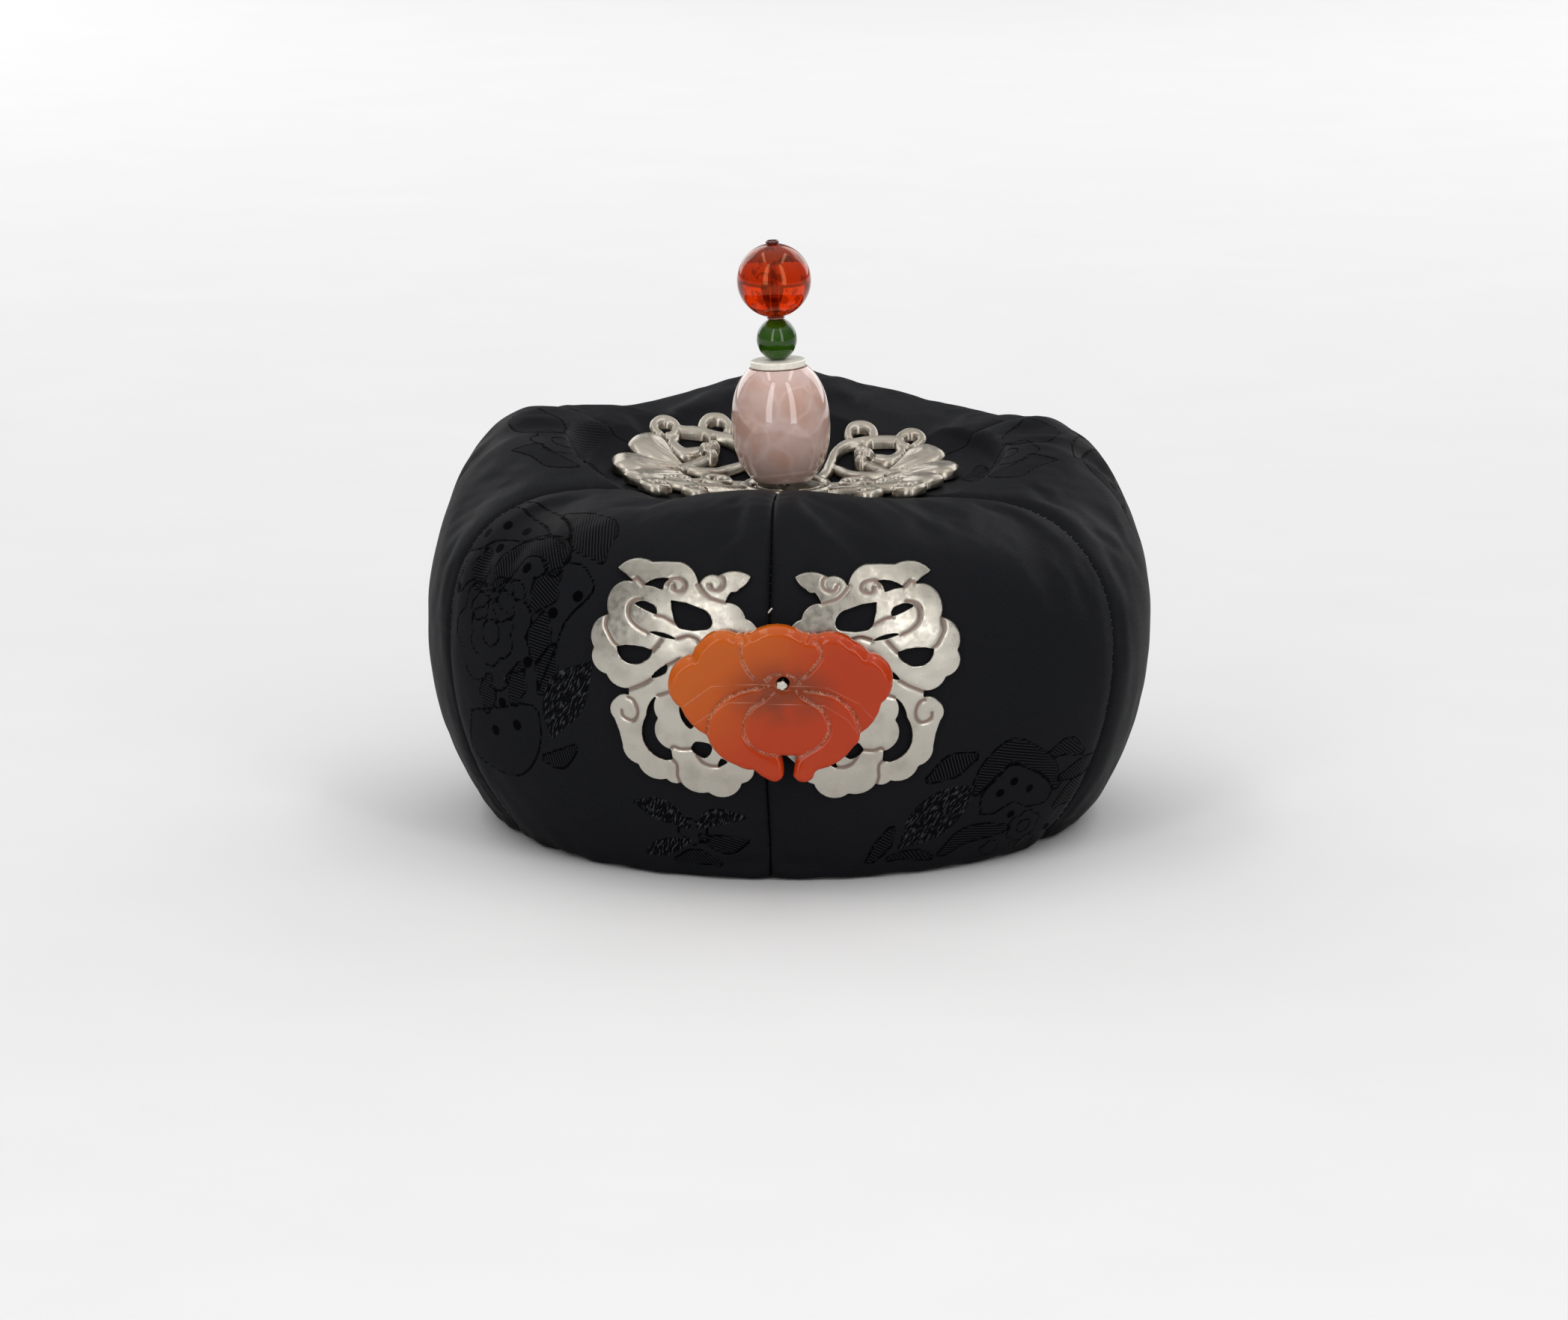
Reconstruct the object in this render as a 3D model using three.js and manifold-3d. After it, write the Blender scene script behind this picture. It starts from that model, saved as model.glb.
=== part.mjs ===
// Bridal coronet: a padded black silk cap of six gores, open underneath, with a cast silver plate
// and a stack of drilled beads on top and a pierced silver plate with a carved carnelian
// butterfly on the front.
// Millimetres. +Z is up, the front faces -Y and +X is the right-hand side seen from the front.

import * as THREE from "three";
import { mergeVertices } from "three/addons/utils/BufferGeometryUtils.js";
import { TessellateModifier } from "three/addons/modifiers/TessellateModifier.js";
import Module from "manifold-3d";

const wasm = await Module();
wasm.setup();

const degree = Math.PI / 180;

// The whole coronet is set back so that the middle of its footprint is the origin.
const setBack = 3.5;

// The padded cap
const seamClearance = 0.3;
const seamGroove = 1.2;
const seamGrooveShare = 0.08;
const grooveFade = 3;
const hemThickness = 5.5;
const wallThickness = 9;
const topThickness = 7.5;
const innerCrestSetback = 4;
const bellyHeight = 42;
const dimpleHeight = 66.4;
const eyeletRadius = 2;
const lowerWallPower = 2.2;

// Radii and heights of the cap's outer surface at each seam (0, 60, 120, 180 degrees either side)
// and at the middle of each gore. fullness is the roundness of the shoulder and dish the steepness
// of the hollow top.
const meridians = [
  { azimuth: -180, hem: 61.0, belly: 71.0, crest: 52, crestHeight: 84.8, fullness: 2.4, dish: 1.0 },
  { azimuth: -150, hem: 60.5, belly: 72.0, crest: 51, crestHeight: 77.8, fullness: 2.5, dish: 0.6 },
  { azimuth: -120, hem: 60.0, belly: 74.4, crest: 57, crestHeight: 79.2, fullness: 2.5, dish: 1.5 },
  { azimuth: -90, hem: 60.5, belly: 73.0, crest: 54, crestHeight: 77.5, fullness: 2.3, dish: 1.8 },
  { azimuth: -60, hem: 59.5, belly: 75.4, crest: 47, crestHeight: 71.4, fullness: 2.45, dish: 1.0 },
  { azimuth: -30, hem: 61.0, belly: 72.5, crest: 45, crestHeight: 72.4, fullness: 2.5, dish: 1.4 },
  { azimuth: 0, hem: 61.5, belly: 71.0, crest: 46, crestHeight: 75.0, fullness: 2.5, dish: 1.0 },
  { azimuth: 30, hem: 61.0, belly: 72.5, crest: 45, crestHeight: 72.2, fullness: 2.5, dish: 1.4 },
  { azimuth: 60, hem: 59.5, belly: 75.4, crest: 47, crestHeight: 70.0, fullness: 2.2, dish: 1.0 },
  { azimuth: 90, hem: 60.5, belly: 73.2, crest: 54, crestHeight: 75.0, fullness: 2.1, dish: 1.8 },
  { azimuth: 120, hem: 60.0, belly: 74.4, crest: 57, crestHeight: 78.0, fullness: 2.25, dish: 1.5 },
  { azimuth: 150, hem: 60.5, belly: 72.0, crest: 50, crestHeight: 76.0, fullness: 2.5, dish: 0.6 },
  { azimuth: 180, hem: 61.0, belly: 71.0, crest: 52, crestHeight: 84.8, fullness: 2.4, dish: 1.0 },
];

const goreSpan = 60;
const gores = [
  { name: "gore_front_left", from: -60 },
  { name: "gore_front_right", from: 0 },
  { name: "gore_side_left", from: -120 },
  { name: "gore_side_right", from: 60 },
  { name: "gore_back_left", from: -180 },
  { name: "gore_back_right", from: 120 },
];

// Where the columns of a gore stand between its two seams, closer together beside a seam
const columnShares = [0, 0.03, 0.1, 0.25, 0.5, 0.75, 0.9, 0.97, 1];
const wallRows = 5;
const shoulderRows = 6;
const topRows = 8;

// The cast top plate
const plateClearance = 0.8;
const paddingRelease = 60;
const plateLift = 0.4;
const plateCentreHeight = dimpleHeight + plateLift;
const plateSideCurve = 0.0026;
const plateBackCurve = 0.0121;
const plateFrontCurve = 0.002;
const plateFootprint = { halfWidth: 42, halfDepth: 33, middle: 5 };
const plateStep = 12;

// The bead stack, which leans a little to the left
const stackLean = 2.7;
const stackFoot = { x: -1.1, height: 69.6 };
const boreRadius = 0.9;
const threadRadius = 0.45;
const beadGap = 0.1;

// The pierced front plate and the stone on it
const frontBelly = 71;
const radiusPasses = 4;
const frontStandOff = 0.5;
const frontThickness = 1;
const frontStep = 9;
const arcStep = 0.8;
const flatBow = 0.25;
const rightWingSlant = 0.05;
const slantMiddle = 48;
const frontMiddle = -0.4;
const stoneThickness = 4.6;
const stoneBevel = 0.9;
const stoneHole = { x: 1.3, z: 42.6, radius: 1.3, sides: 10 };
const stoneGap = 0.4;

// The knot of the front thread is sunk into the mouth of the stone's hole.
const knotRadius = 0.9;
const knotSink = 0.8;
const knotTurns = [-50, -15, 15, 50];
const frontThreadRadius = 0.4;
const frontThreadRootGap = 0.3;
const frontThreadSides = 8;

const silk = { color: 0x1b1c21, roughness: 0.75, metalness: 0 };
const silver = { color: 0xb9b3a4, roughness: 0.35, metalness: 1 };
const finishes = {
  quartz: { color: 0xbe9f9a, roughness: 0.15, metalness: 0 },
  whiteStone: { color: 0xc9c3b4, roughness: 0.3, metalness: 0 },
  jade: { color: 0x2f5a1e, roughness: 0.15, metalness: 0 },
  pink: { color: 0xb98878, roughness: 0.3, metalness: 0 },
  amber: { color: 0xa9300c, roughness: 0.08, metalness: 0 },
  garnet: { color: 0x3c100c, roughness: 0.15, metalness: 0 },
  carnelian: { color: 0xc2501f, roughness: 0.25, metalness: 0 },
  thread: { color: 0xd8d3c6, roughness: 0.9, metalness: 0 },
};

const lerp = (a, b, share) => a + (b - a) * share;
const smooth = (share) => share * share * (3 - 2 * share);

// Solids

const weldDistance = 1e-4;
const tessellationRounds = 8;

function closedBody(points, triangles) {
  const a = new THREE.Vector3();
  const b = new THREE.Vector3();
  let volume = 0;
  for (const [i, j, k] of triangles) {
    volume += points[i].dot(a.copy(points[j]).cross(b.copy(points[k])));
  }
  const facing = volume > 0 ? triangles : triangles.map(([i, j, k]) => [i, k, j]);
  const geometry = new THREE.BufferGeometry().setFromPoints(points);
  geometry.setIndex(facing.flat());
  return geometry;
}

// A solid through rings of points that all have the same count, closed flat at both ends by
// the given list of end triangles.
function loft(rings, endTriangles) {
  const count = rings[0].length;
  const triangles = [];
  for (let ring = 0; ring + 1 < rings.length; ring += 1) {
    for (let i = 0; i < count; i += 1) {
      const next = (i + 1) % count;
      const a = ring * count + i;
      const b = ring * count + next;
      triangles.push([a, b, b + count], [a, b + count, a + count]);
    }
  }
  const last = (rings.length - 1) * count;
  for (const [i, j, k] of endTriangles) {
    triangles.push([i, k, j], [last + i, last + j, last + k]);
  }
  return closedBody(rings.flat(), triangles);
}

// Shares the vertices of a closed mesh and drops the triangles that have shrunk to a line.
function weld(geometry) {
  const bare = geometry.clone();
  bare.deleteAttribute("normal");
  bare.deleteAttribute("uv");
  const welded = mergeVertices(bare, weldDistance);
  const index = Array.from(welded.index.array);
  const kept = [];
  for (let i = 0; i < index.length; i += 3) {
    const [a, b, c] = index.slice(i, i + 3);
    if (a !== b && b !== c && c !== a) {
      kept.push(a, b, c);
    }
  }
  welded.setIndex(kept);
  return welded;
}

function toManifold(geometry) {
  const welded = weld(geometry);
  return new wasm.Manifold(new wasm.Mesh({
    numProp: 3,
    vertProperties: new Float32Array(welded.attributes.position.array),
    triVerts: new Uint32Array(welded.index.array),
  }));
}

function fromManifold(solid) {
  const mesh = solid.getMesh();
  const geometry = new THREE.BufferGeometry();
  geometry.setAttribute("position", new THREE.BufferAttribute(new Float32Array(mesh.vertProperties), 3));
  geometry.setIndex(new THREE.BufferAttribute(new Uint32Array(mesh.triVerts), 1));
  return geometry;
}

// Breaks long edges, so that a flat body can be bent without its faces cutting the corner.
function bend(geometry, longestEdge, place) {
  const fine = weld(new TessellateModifier(longestEdge, tessellationRounds).modify(geometry));
  const position = fine.attributes.position;
  const point = new THREE.Vector3();
  for (let i = 0; i < position.count; i += 1) {
    point.fromBufferAttribute(position, i);
    place(point);
    position.setXYZ(i, point.x, point.y, point.z);
  }
  return fine;
}

// Outlines

// Points along a round arc from one corner towards the next, leaving out the far corner. bow is
// how far the arc swells to the right of the way it runs.
function arcPoints(from, to, bow) {
  const along = new THREE.Vector2().subVectors(to, from);
  const chord = along.length();
  along.normalize();
  const right = new THREE.Vector2(along.y, -along.x);
  const halfTurn = 2 * Math.atan(2 * bow / chord);
  const leastSteps = Math.abs(bow) > flatBow ? 2 : 1;
  const steps = Math.max(leastSteps, Math.round(2 * Math.abs(halfTurn) / arcStep));
  const points = [];
  for (let step = 0; step < steps; step += 1) {
    if (step === 0) {
      points.push(from.clone());
      continue;
    }
    const radius = chord / (2 * Math.sin(halfTurn));
    const turn = lerp(-halfTurn, halfTurn, step / steps);
    const run = chord / 2 + radius * Math.sin(turn);
    const rise = radius * (Math.cos(turn) - Math.cos(halfTurn));
    points.push(from.clone().addScaledVector(along, run).addScaledVector(right, rise));
  }
  return points;
}

// A closed outline through corners [{ x, z, bow }], the bow swelling the arc that starts there
function outline(corners) {
  return corners.flatMap((corner, i) => {
    const next = corners[(i + 1) % corners.length];
    return arcPoints(new THREE.Vector2(corner.x, corner.z), new THREE.Vector2(next.x, next.z), corner.bow);
  });
}

// The right wing is the left one turned over, and slants outwards a little towards its foot.
function mirrored(points) {
  return points.map((p) => new THREE.Vector2(-p.x - rightWingSlant * (p.y - slantMiddle), p.y)).reverse();
}

function circle(x, y, radius, sides) {
  return Array.from({ length: sides }, (_, i) => {
    const turn = 2 * Math.PI * i / sides;
    return new THREE.Vector2(x + radius * Math.cos(turn), y + radius * Math.sin(turn));
  });
}

// The padded cap

function meridianAt(azimuth) {
  const gore = Math.min(gores.length - 1, Math.floor((azimuth + 180) / goreSpan));
  const [seam, middle, nextSeam] = meridians.slice(2 * gore, 2 * gore + 3);
  const across = (azimuth - middle.azimuth) / (goreSpan / 2);
  const share = smooth((across + 1) / 2);
  const blend = (key) => {
    const swell = middle[key] - (seam[key] + nextSeam[key]) / 2;
    return lerp(seam[key], nextSeam[key], share) + swell * (1 - across * across);
  };
  return {
    hem: blend("hem"),
    belly: blend("belly"),
    crest: blend("crest"),
    crestHeight: blend("crestHeight"),
    fullness: blend("fullness"),
    dish: blend("dish"),
    dimple: dimpleHeight,
  };
}

function innerMeridian(outer) {
  return {
    ...outer,
    hem: outer.hem - hemThickness,
    belly: outer.belly - wallThickness,
    crest: outer.crest - innerCrestSetback,
    crestHeight: outer.crestHeight - topThickness,
    dimple: outer.dimple - topThickness,
  };
}

// Radius and height on a meridian: travel runs 0 to 1 up the wall, 1 to 2 over the shoulder and
// 2 to 3 from the crest down to the eyelet.
function profilePoint(meridian, travel) {
  const { hem, belly, crest, crestHeight, fullness, dish, dimple } = meridian;
  if (travel <= 1) {
    return { r: belly - (belly - hem) * (1 - travel) ** lowerWallPower, z: bellyHeight * travel };
  }
  if (travel <= 2) {
    const turn = (travel - 1) * 90 * degree;
    return {
      r: crest + (belly - crest) * Math.cos(turn) ** (2 / fullness),
      z: bellyHeight + (crestHeight - bellyHeight) * Math.sin(turn) ** (2 / fullness),
    };
  }
  const r = lerp(crest, eyeletRadius, travel - 2);
  return { r, z: dimple + (crestHeight - dimple) * smooth(r / crest) ** dish };
}

function wallRadius(meridian, z) {
  const { hem, belly, crest, crestHeight, fullness } = meridian;
  if (z <= bellyHeight) {
    return belly - (belly - hem) * (1 - z / bellyHeight) ** lowerWallPower;
  }
  const rise = ((z - bellyHeight) / (crestHeight - bellyHeight)) ** (fullness / 2);
  return crest + (belly - crest) * Math.sqrt(1 - rise * rise) ** (2 / fullness);
}

// Height of the underside of the top plate
function plateUnderside(x, y) {
  const depthCurve = y > 0 ? plateBackCurve : plateFrontCurve;
  return plateCentreHeight + plateSideCurve * x * x + depthCurve * y * y;
}

// How high the padding may rise at a place: just under the plate, and free outside its footprint
function pressedHeight(x, y) {
  const { halfWidth, halfDepth, middle } = plateFootprint;
  const outside = Math.max(0, Math.hypot(x / halfWidth, (y - middle) / halfDepth) - 1);
  return plateUnderside(x, y) - plateClearance + paddingRelease * outside;
}

function grooveDepth(share) {
  const fromSeam = Math.min(share, 1 - share);
  return seamGroove * Math.max(0, 1 - fromSeam / seamGrooveShare) ** 2;
}

function travels() {
  const steps = (start, rows) => Array.from({ length: rows }, (_, i) => start + i / rows);
  return [...steps(0, wallRows), ...steps(1, shoulderRows), ...steps(2, topRows), 3];
}

function goreColumn(from, share) {
  const azimuth = from + goreSpan * share;
  const outer = meridianAt(azimuth);
  const inner = innerMeridian(outer);
  const away = new THREE.Vector3(Math.sin(azimuth * degree), -Math.cos(azimuth * degree), 0);
  const along = new THREE.Vector3(Math.cos(azimuth * degree), Math.sin(azimuth * degree), 0);
  const shift = seamClearance * (0.5 - share);
  const place = ({ r, z }) => away.clone().multiplyScalar(r).addScaledVector(along, shift).setZ(z);
  const outside = travels().map((travel) => {
    const turn = THREE.MathUtils.clamp(travel - 1, 0, 1) * 90 * degree;
    const groove = grooveDepth(share) * Math.min(1, grooveFade * (3 - travel));
    const { r, z } = profilePoint(outer, travel);
    const sunk = travel === 0 ? 0 : groove * Math.sin(turn);
    const point = place({ r: r - groove * Math.cos(turn), z: z - sunk });
    if (travel >= 2) {
      point.z = Math.min(point.z, pressedHeight(point.x, point.y));
    }
    return point;
  });
  const inside = travels().map((travel) => place(profilePoint(inner, travel)));
  return [...outside, ...inside.reverse()];
}

function goreGeometry(from) {
  const rings = columnShares.map((share) => goreColumn(from, share));
  const count = rings[0].length;
  const ends = [];
  for (let i = 0; i + 1 < count / 2; i += 1) {
    const opposite = count - 1 - i;
    ends.push([i, i + 1, opposite - 1], [i, opposite - 1, opposite]);
  }
  return loft(rings, ends);
}

// The cast top plate, drawn in plan for the right half: x to the side, y to the back, half the
// half width and rise the height of each stroke of relief.

const reliefStrokes = [
  // back petal, side petal and front petal of the fan
  [
    { x: 22.6, y: 10.0, half: 1.0, rise: 1.6 }, { x: 25.0, y: 12.8, half: 2.6, rise: 2.2 },
    { x: 27.6, y: 15.2, half: 3.7, rise: 2.6 }, { x: 29.8, y: 17.0, half: 3.2, rise: 2.2 },
    { x: 31.2, y: 18.0, half: 1.4, rise: 1.4 },
  ],
  [
    { x: 23.0, y: 8.4, half: 1.0, rise: 1.6 }, { x: 26.6, y: 7.8, half: 2.8, rise: 2.3 },
    { x: 30.2, y: 6.8, half: 4.6, rise: 2.8 }, { x: 33.2, y: 5.6, half: 5.2, rise: 2.6 },
    { x: 35.2, y: 4.6, half: 3.4, rise: 2.0 }, { x: 36.0, y: 4.2, half: 1.4, rise: 1.4 },
  ],
  [
    { x: 22.8, y: 6.6, half: 1.0, rise: 1.6 }, { x: 25.4, y: 3.9, half: 2.3, rise: 2.2 },
    { x: 28.0, y: 0.4, half: 3.4, rise: 2.6 }, { x: 30.2, y: -3.4, half: 3.8, rise: 2.4 },
    { x: 31.6, y: -6.8, half: 1.8, rise: 1.4 },
  ],
  // band from the back curl round to the centre, and the leaf under it
  [
    { x: 24.2, y: 22.2, half: 1.3, rise: 2.2 }, { x: 20.0, y: 22.9, half: 1.3, rise: 2.4 },
    { x: 16.0, y: 22.6, half: 1.2, rise: 2.4 }, { x: 12.4, y: 21.4, half: 1.3, rise: 2.4 },
    { x: 9.6, y: 18.8, half: 1.4, rise: 2.4 }, { x: 8.4, y: 15.0, half: 1.5, rise: 2.2 },
    { x: 7.4, y: 11.0, half: 1.5, rise: 2.0 }, { x: 5.6, y: 7.0, half: 1.4, rise: 1.8 },
  ],
  [
    { x: 24.0, y: 21.0, half: 0.9, rise: 2.0 }, { x: 24.5, y: 17.8, half: 1.5, rise: 2.5 },
    { x: 22.3, y: 15.4, half: 1.8, rise: 2.6 }, { x: 19.6, y: 16.2, half: 1.7, rise: 2.4 },
    { x: 17.6, y: 18.2, half: 1.0, rise: 1.8 },
  ],
  // stem from the knobs to the root of the fan
  [
    { x: 16.6, y: 15.6, half: 1.3, rise: 2.0 }, { x: 18.6, y: 12.6, half: 1.4, rise: 2.2 },
    { x: 20.8, y: 10.2, half: 1.4, rise: 2.2 }, { x: 23.4, y: 7.6, half: 1.8, rise: 2.2 },
  ],
  // arc under the knobs
  [
    { x: 21.4, y: 9.2, half: 1.1, rise: 1.9 }, { x: 17.6, y: 8.4, half: 1.4, rise: 2.2 },
    { x: 14.2, y: 9.2, half: 1.4, rise: 2.2 }, { x: 11.6, y: 11.6, half: 1.3, rise: 2.0 },
    { x: 9.0, y: 14.0, half: 1.0, rise: 1.6 },
  ],
  // front bar, the link between the two scrolls and the links to the front curls
  [
    { x: 24.2, y: -2.6, half: 1.1, rise: 2.0 }, { x: 21.0, y: -4.4, half: 1.3, rise: 2.2 },
    { x: 17.0, y: -4.8, half: 1.4, rise: 2.2 }, { x: 13.0, y: -3.6, half: 1.3, rise: 2.2 },
    { x: 8.0, y: -2.6, half: 1.3, rise: 1.8 },
  ],
  [
    { x: 20.8, y: 0.6, half: 1.0, rise: 2.2 }, { x: 18.6, y: 1.0, half: 1.2, rise: 2.2 },
    { x: 16.4, y: 2.2, half: 1.0, rise: 2.2 },
  ],
  [
    { x: 25.6, y: -9.4, half: 1.1, rise: 2.0 }, { x: 25.2, y: -6.0, half: 1.3, rise: 2.0 },
    { x: 24.0, y: -2.0, half: 1.2, rise: 2.0 },
  ],
  [
    { x: 17.4, y: -9.6, half: 1.1, rise: 2.0 }, { x: 17.8, y: -7.4, half: 1.2, rise: 2.0 },
    { x: 18.2, y: -4.8, half: 1.1, rise: 2.0 },
  ],
  // link from the front scroll to the fan, and from the second scroll to the centre
  [
    { x: 22.8, y: 1.6, half: 1.1, rise: 2.0 }, { x: 23.4, y: 4.2, half: 1.2, rise: 2.0 },
    { x: 23.2, y: 7.0, half: 1.1, rise: 1.8 },
  ],
  [
    { x: 12.6, y: 2.6, half: 1.2, rise: 2.0 }, { x: 10.2, y: 2.4, half: 1.3, rise: 1.9 },
    { x: 7.4, y: 2.2, half: 1.3, rise: 1.8 },
  ],
];

// Curls: rings that are open by the angles between from and to, in degrees
const curls = [
  { x: 26.2, y: 22.4, radius: 2.4, half: 1.3, rise: 2.4, from: 0, to: 360 },
  { x: 15.6, y: 25.7, radius: 2.9, half: 1.1, rise: 2.2, from: -60, to: 215 },
  { x: 22.6, y: -0.8, radius: 2.4, half: 1.2, rise: 2.6, from: 0, to: 360 },
  { x: 14.6, y: 3.0, radius: 2.6, half: 1.1, rise: 2.3, from: 0, to: 360 },
  { x: 26.0, y: -11.6, radius: 2.4, half: 1.3, rise: 2.4, from: 0, to: 360 },
  { x: 17.2, y: -11.6, radius: 2.1, half: 1.3, rise: 2.2, from: 0, to: 360 },
];

const knobs = [
  { x: 17.4, y: 16.4, radius: 1.4, rise: 3.0 },
  { x: 15.8, y: 17.8, radius: 1.3, rise: 2.8 },
  { x: 16.0, y: 14.6, radius: 1.3, rise: 2.8 },
  { x: 22.6, y: -0.8, radius: 1.5, rise: 1.9 },
];

const centreDisc = { radius: 9, rise: 1.6, ringRadius: 8.6, ringHalf: 1.1, ringRise: 2.2, sides: 16 };
const plateBore = { radius: 1.4, below: -5, above: 8, sides: 12 };
const curlSides = 8;
const openCurlSteps = 6;
const knobSides = 6;
const knobShoulder = 0.6;
const crownShare = 0.6;

function strokeRing(centre, across, half, rise) {
  const section = [[-half, 0], [half, 0], [crownShare * half, rise], [-crownShare * half, rise]];
  return section.map(([offset, height]) =>
    new THREE.Vector3(centre.x + offset * across.x, centre.y + offset * across.y, height));
}

const strokeEnds = [[0, 1, 2], [0, 2, 3]];

function strokeSolid(rows, side) {
  const rings = rows.map((row, i) => {
    const before = rows[Math.max(0, i - 1)];
    const after = rows[Math.min(rows.length - 1, i + 1)];
    const along = new THREE.Vector2(side * (after.x - before.x), after.y - before.y).normalize();
    return strokeRing({ x: side * row.x, y: row.y }, { x: along.y, y: -along.x }, row.half, row.rise);
  });
  return toManifold(loft(rings, strokeEnds));
}

function curlSolid({ x, y, radius, half, rise, from, to }, side) {
  if (to - from === 360) {
    return ringSolid(side * x, y, radius, half, rise, curlSides);
  }
  const rings = Array.from({ length: openCurlSteps + 1 }, (_, i) => {
    const turn = lerp(from, to, i / openCurlSteps) * degree;
    const away = { x: side * Math.cos(turn), y: Math.sin(turn) };
    return strokeRing({ x: side * x + radius * away.x, y: y + radius * away.y }, away, half, rise);
  });
  return toManifold(loft(rings, strokeEnds));
}

// A body turned about an upright axis at x, y from a closed profile [[radius, height], ...]
function turned(profile, sides, x = 0, y = 0) {
  const points = profile.map(([r, z]) => new THREE.Vector2(r, z));
  const geometry = new THREE.LatheGeometry(points, sides);
  geometry.rotateX(Math.PI / 2);
  geometry.translate(x, y, 0);
  return weld(geometry);
}

function ringSolid(x, y, radius, half, rise, sides) {
  const section = strokeRing({ x: radius, y: 0 }, { x: 1, y: 0 }, half, rise);
  const profile = section.map((p) => [p.x, p.z]);
  return toManifold(turned([...profile, profile[0]], sides, x, y));
}

function knobSolid({ x, y, radius, rise }, side) {
  const profile = [[0, 0], [radius, 0], [radius, knobShoulder * rise], [0, rise]];
  return toManifold(turned(profile, knobSides, side * x, y));
}

// The hole for the thread, through the whole plate
function boreSolid() {
  const { radius, below, above, sides } = plateBore;
  const profile = [[0, below], [radius, below], [radius, above], [0, above]];
  return toManifold(turned(profile, sides, stackFoot.x, 0));
}

function topPlateGeometry() {
  const { radius, rise, ringRadius, ringHalf, ringRise, sides } = centreDisc;
  const disc = toManifold(turned([[0, 0], [radius, 0], [radius, rise], [0, rise]], sides));
  let plate = disc.add(ringSolid(0, 0, ringRadius, ringHalf, ringRise, sides));
  for (const side of [-1, 1]) {
    for (const rows of reliefStrokes) {
      plate = plate.add(strokeSolid(rows, side));
    }
    for (const curl of curls) {
      plate = plate.add(curlSolid(curl, side));
    }
    for (const knob of knobs) {
      plate = plate.add(knobSolid(knob, side));
    }
  }
  plate = plate.subtract(boreSolid());
  return bend(fromManifold(plate), plateStep, (point) => {
    point.z += plateUnderside(point.x, point.y);
  });
}

// The pierced front plate: corners of the left half seen from the front, out from the middle
// line and up from the table, with the bow of the edge that starts there.

const plateEdge = [
  { out: 0, up: 51, bow: 0 },
  { out: 3.5, up: 53.2, bow: 0.3 },
  { out: 5.6, up: 54.8, bow: 1.0 },
  { out: 9.6, up: 57.8, bow: -0.2 },
  { out: 8.4, up: 59.9, bow: 0.3 },
  { out: 6.8, up: 60.5, bow: 0.3 },
  { out: 4.7, up: 62.8, bow: 0.9 },
  { out: 11.0, up: 62.6, bow: 0.9 },
  { out: 14.9, up: 60.8, bow: 0.9 },
  { out: 18.5, up: 64.7, bow: 0.1 },
  { out: 24.0, up: 64.4, bow: 1.1 },
  { out: 31.0, up: 62.9, bow: -0.2 },
  { out: 27.8, up: 60.8, bow: 2.4 },
  { out: 32.6, up: 54.2, bow: 1.9 },
  { out: 35.6, up: 47.7, bow: 1.5 },
  { out: 33.1, up: 42.6, bow: 0.9 },
  { out: 28.7, up: 40.1, bow: 0 },
  { out: 28.6, up: 38.7, bow: 0.5 },
  { out: 31.4, up: 37.8, bow: 0.9 },
  { out: 31.6, up: 33.8, bow: -0.2 },
  { out: 30.0, up: 28.6, bow: 0.9 },
  { out: 26.9, up: 24.7, bow: 1.3 },
  { out: 21.3, up: 22.0, bow: 0.5 },
  { out: 18.4, up: 21.4, bow: 0.9 },
  { out: 13.0, up: 19.6, bow: 1.9 },
  { out: 6.4, up: 21.8, bow: 0.9 },
  { out: 4.0, up: 25.2, bow: 0 },
  { out: 0, up: 30, bow: 0 },
];

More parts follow.
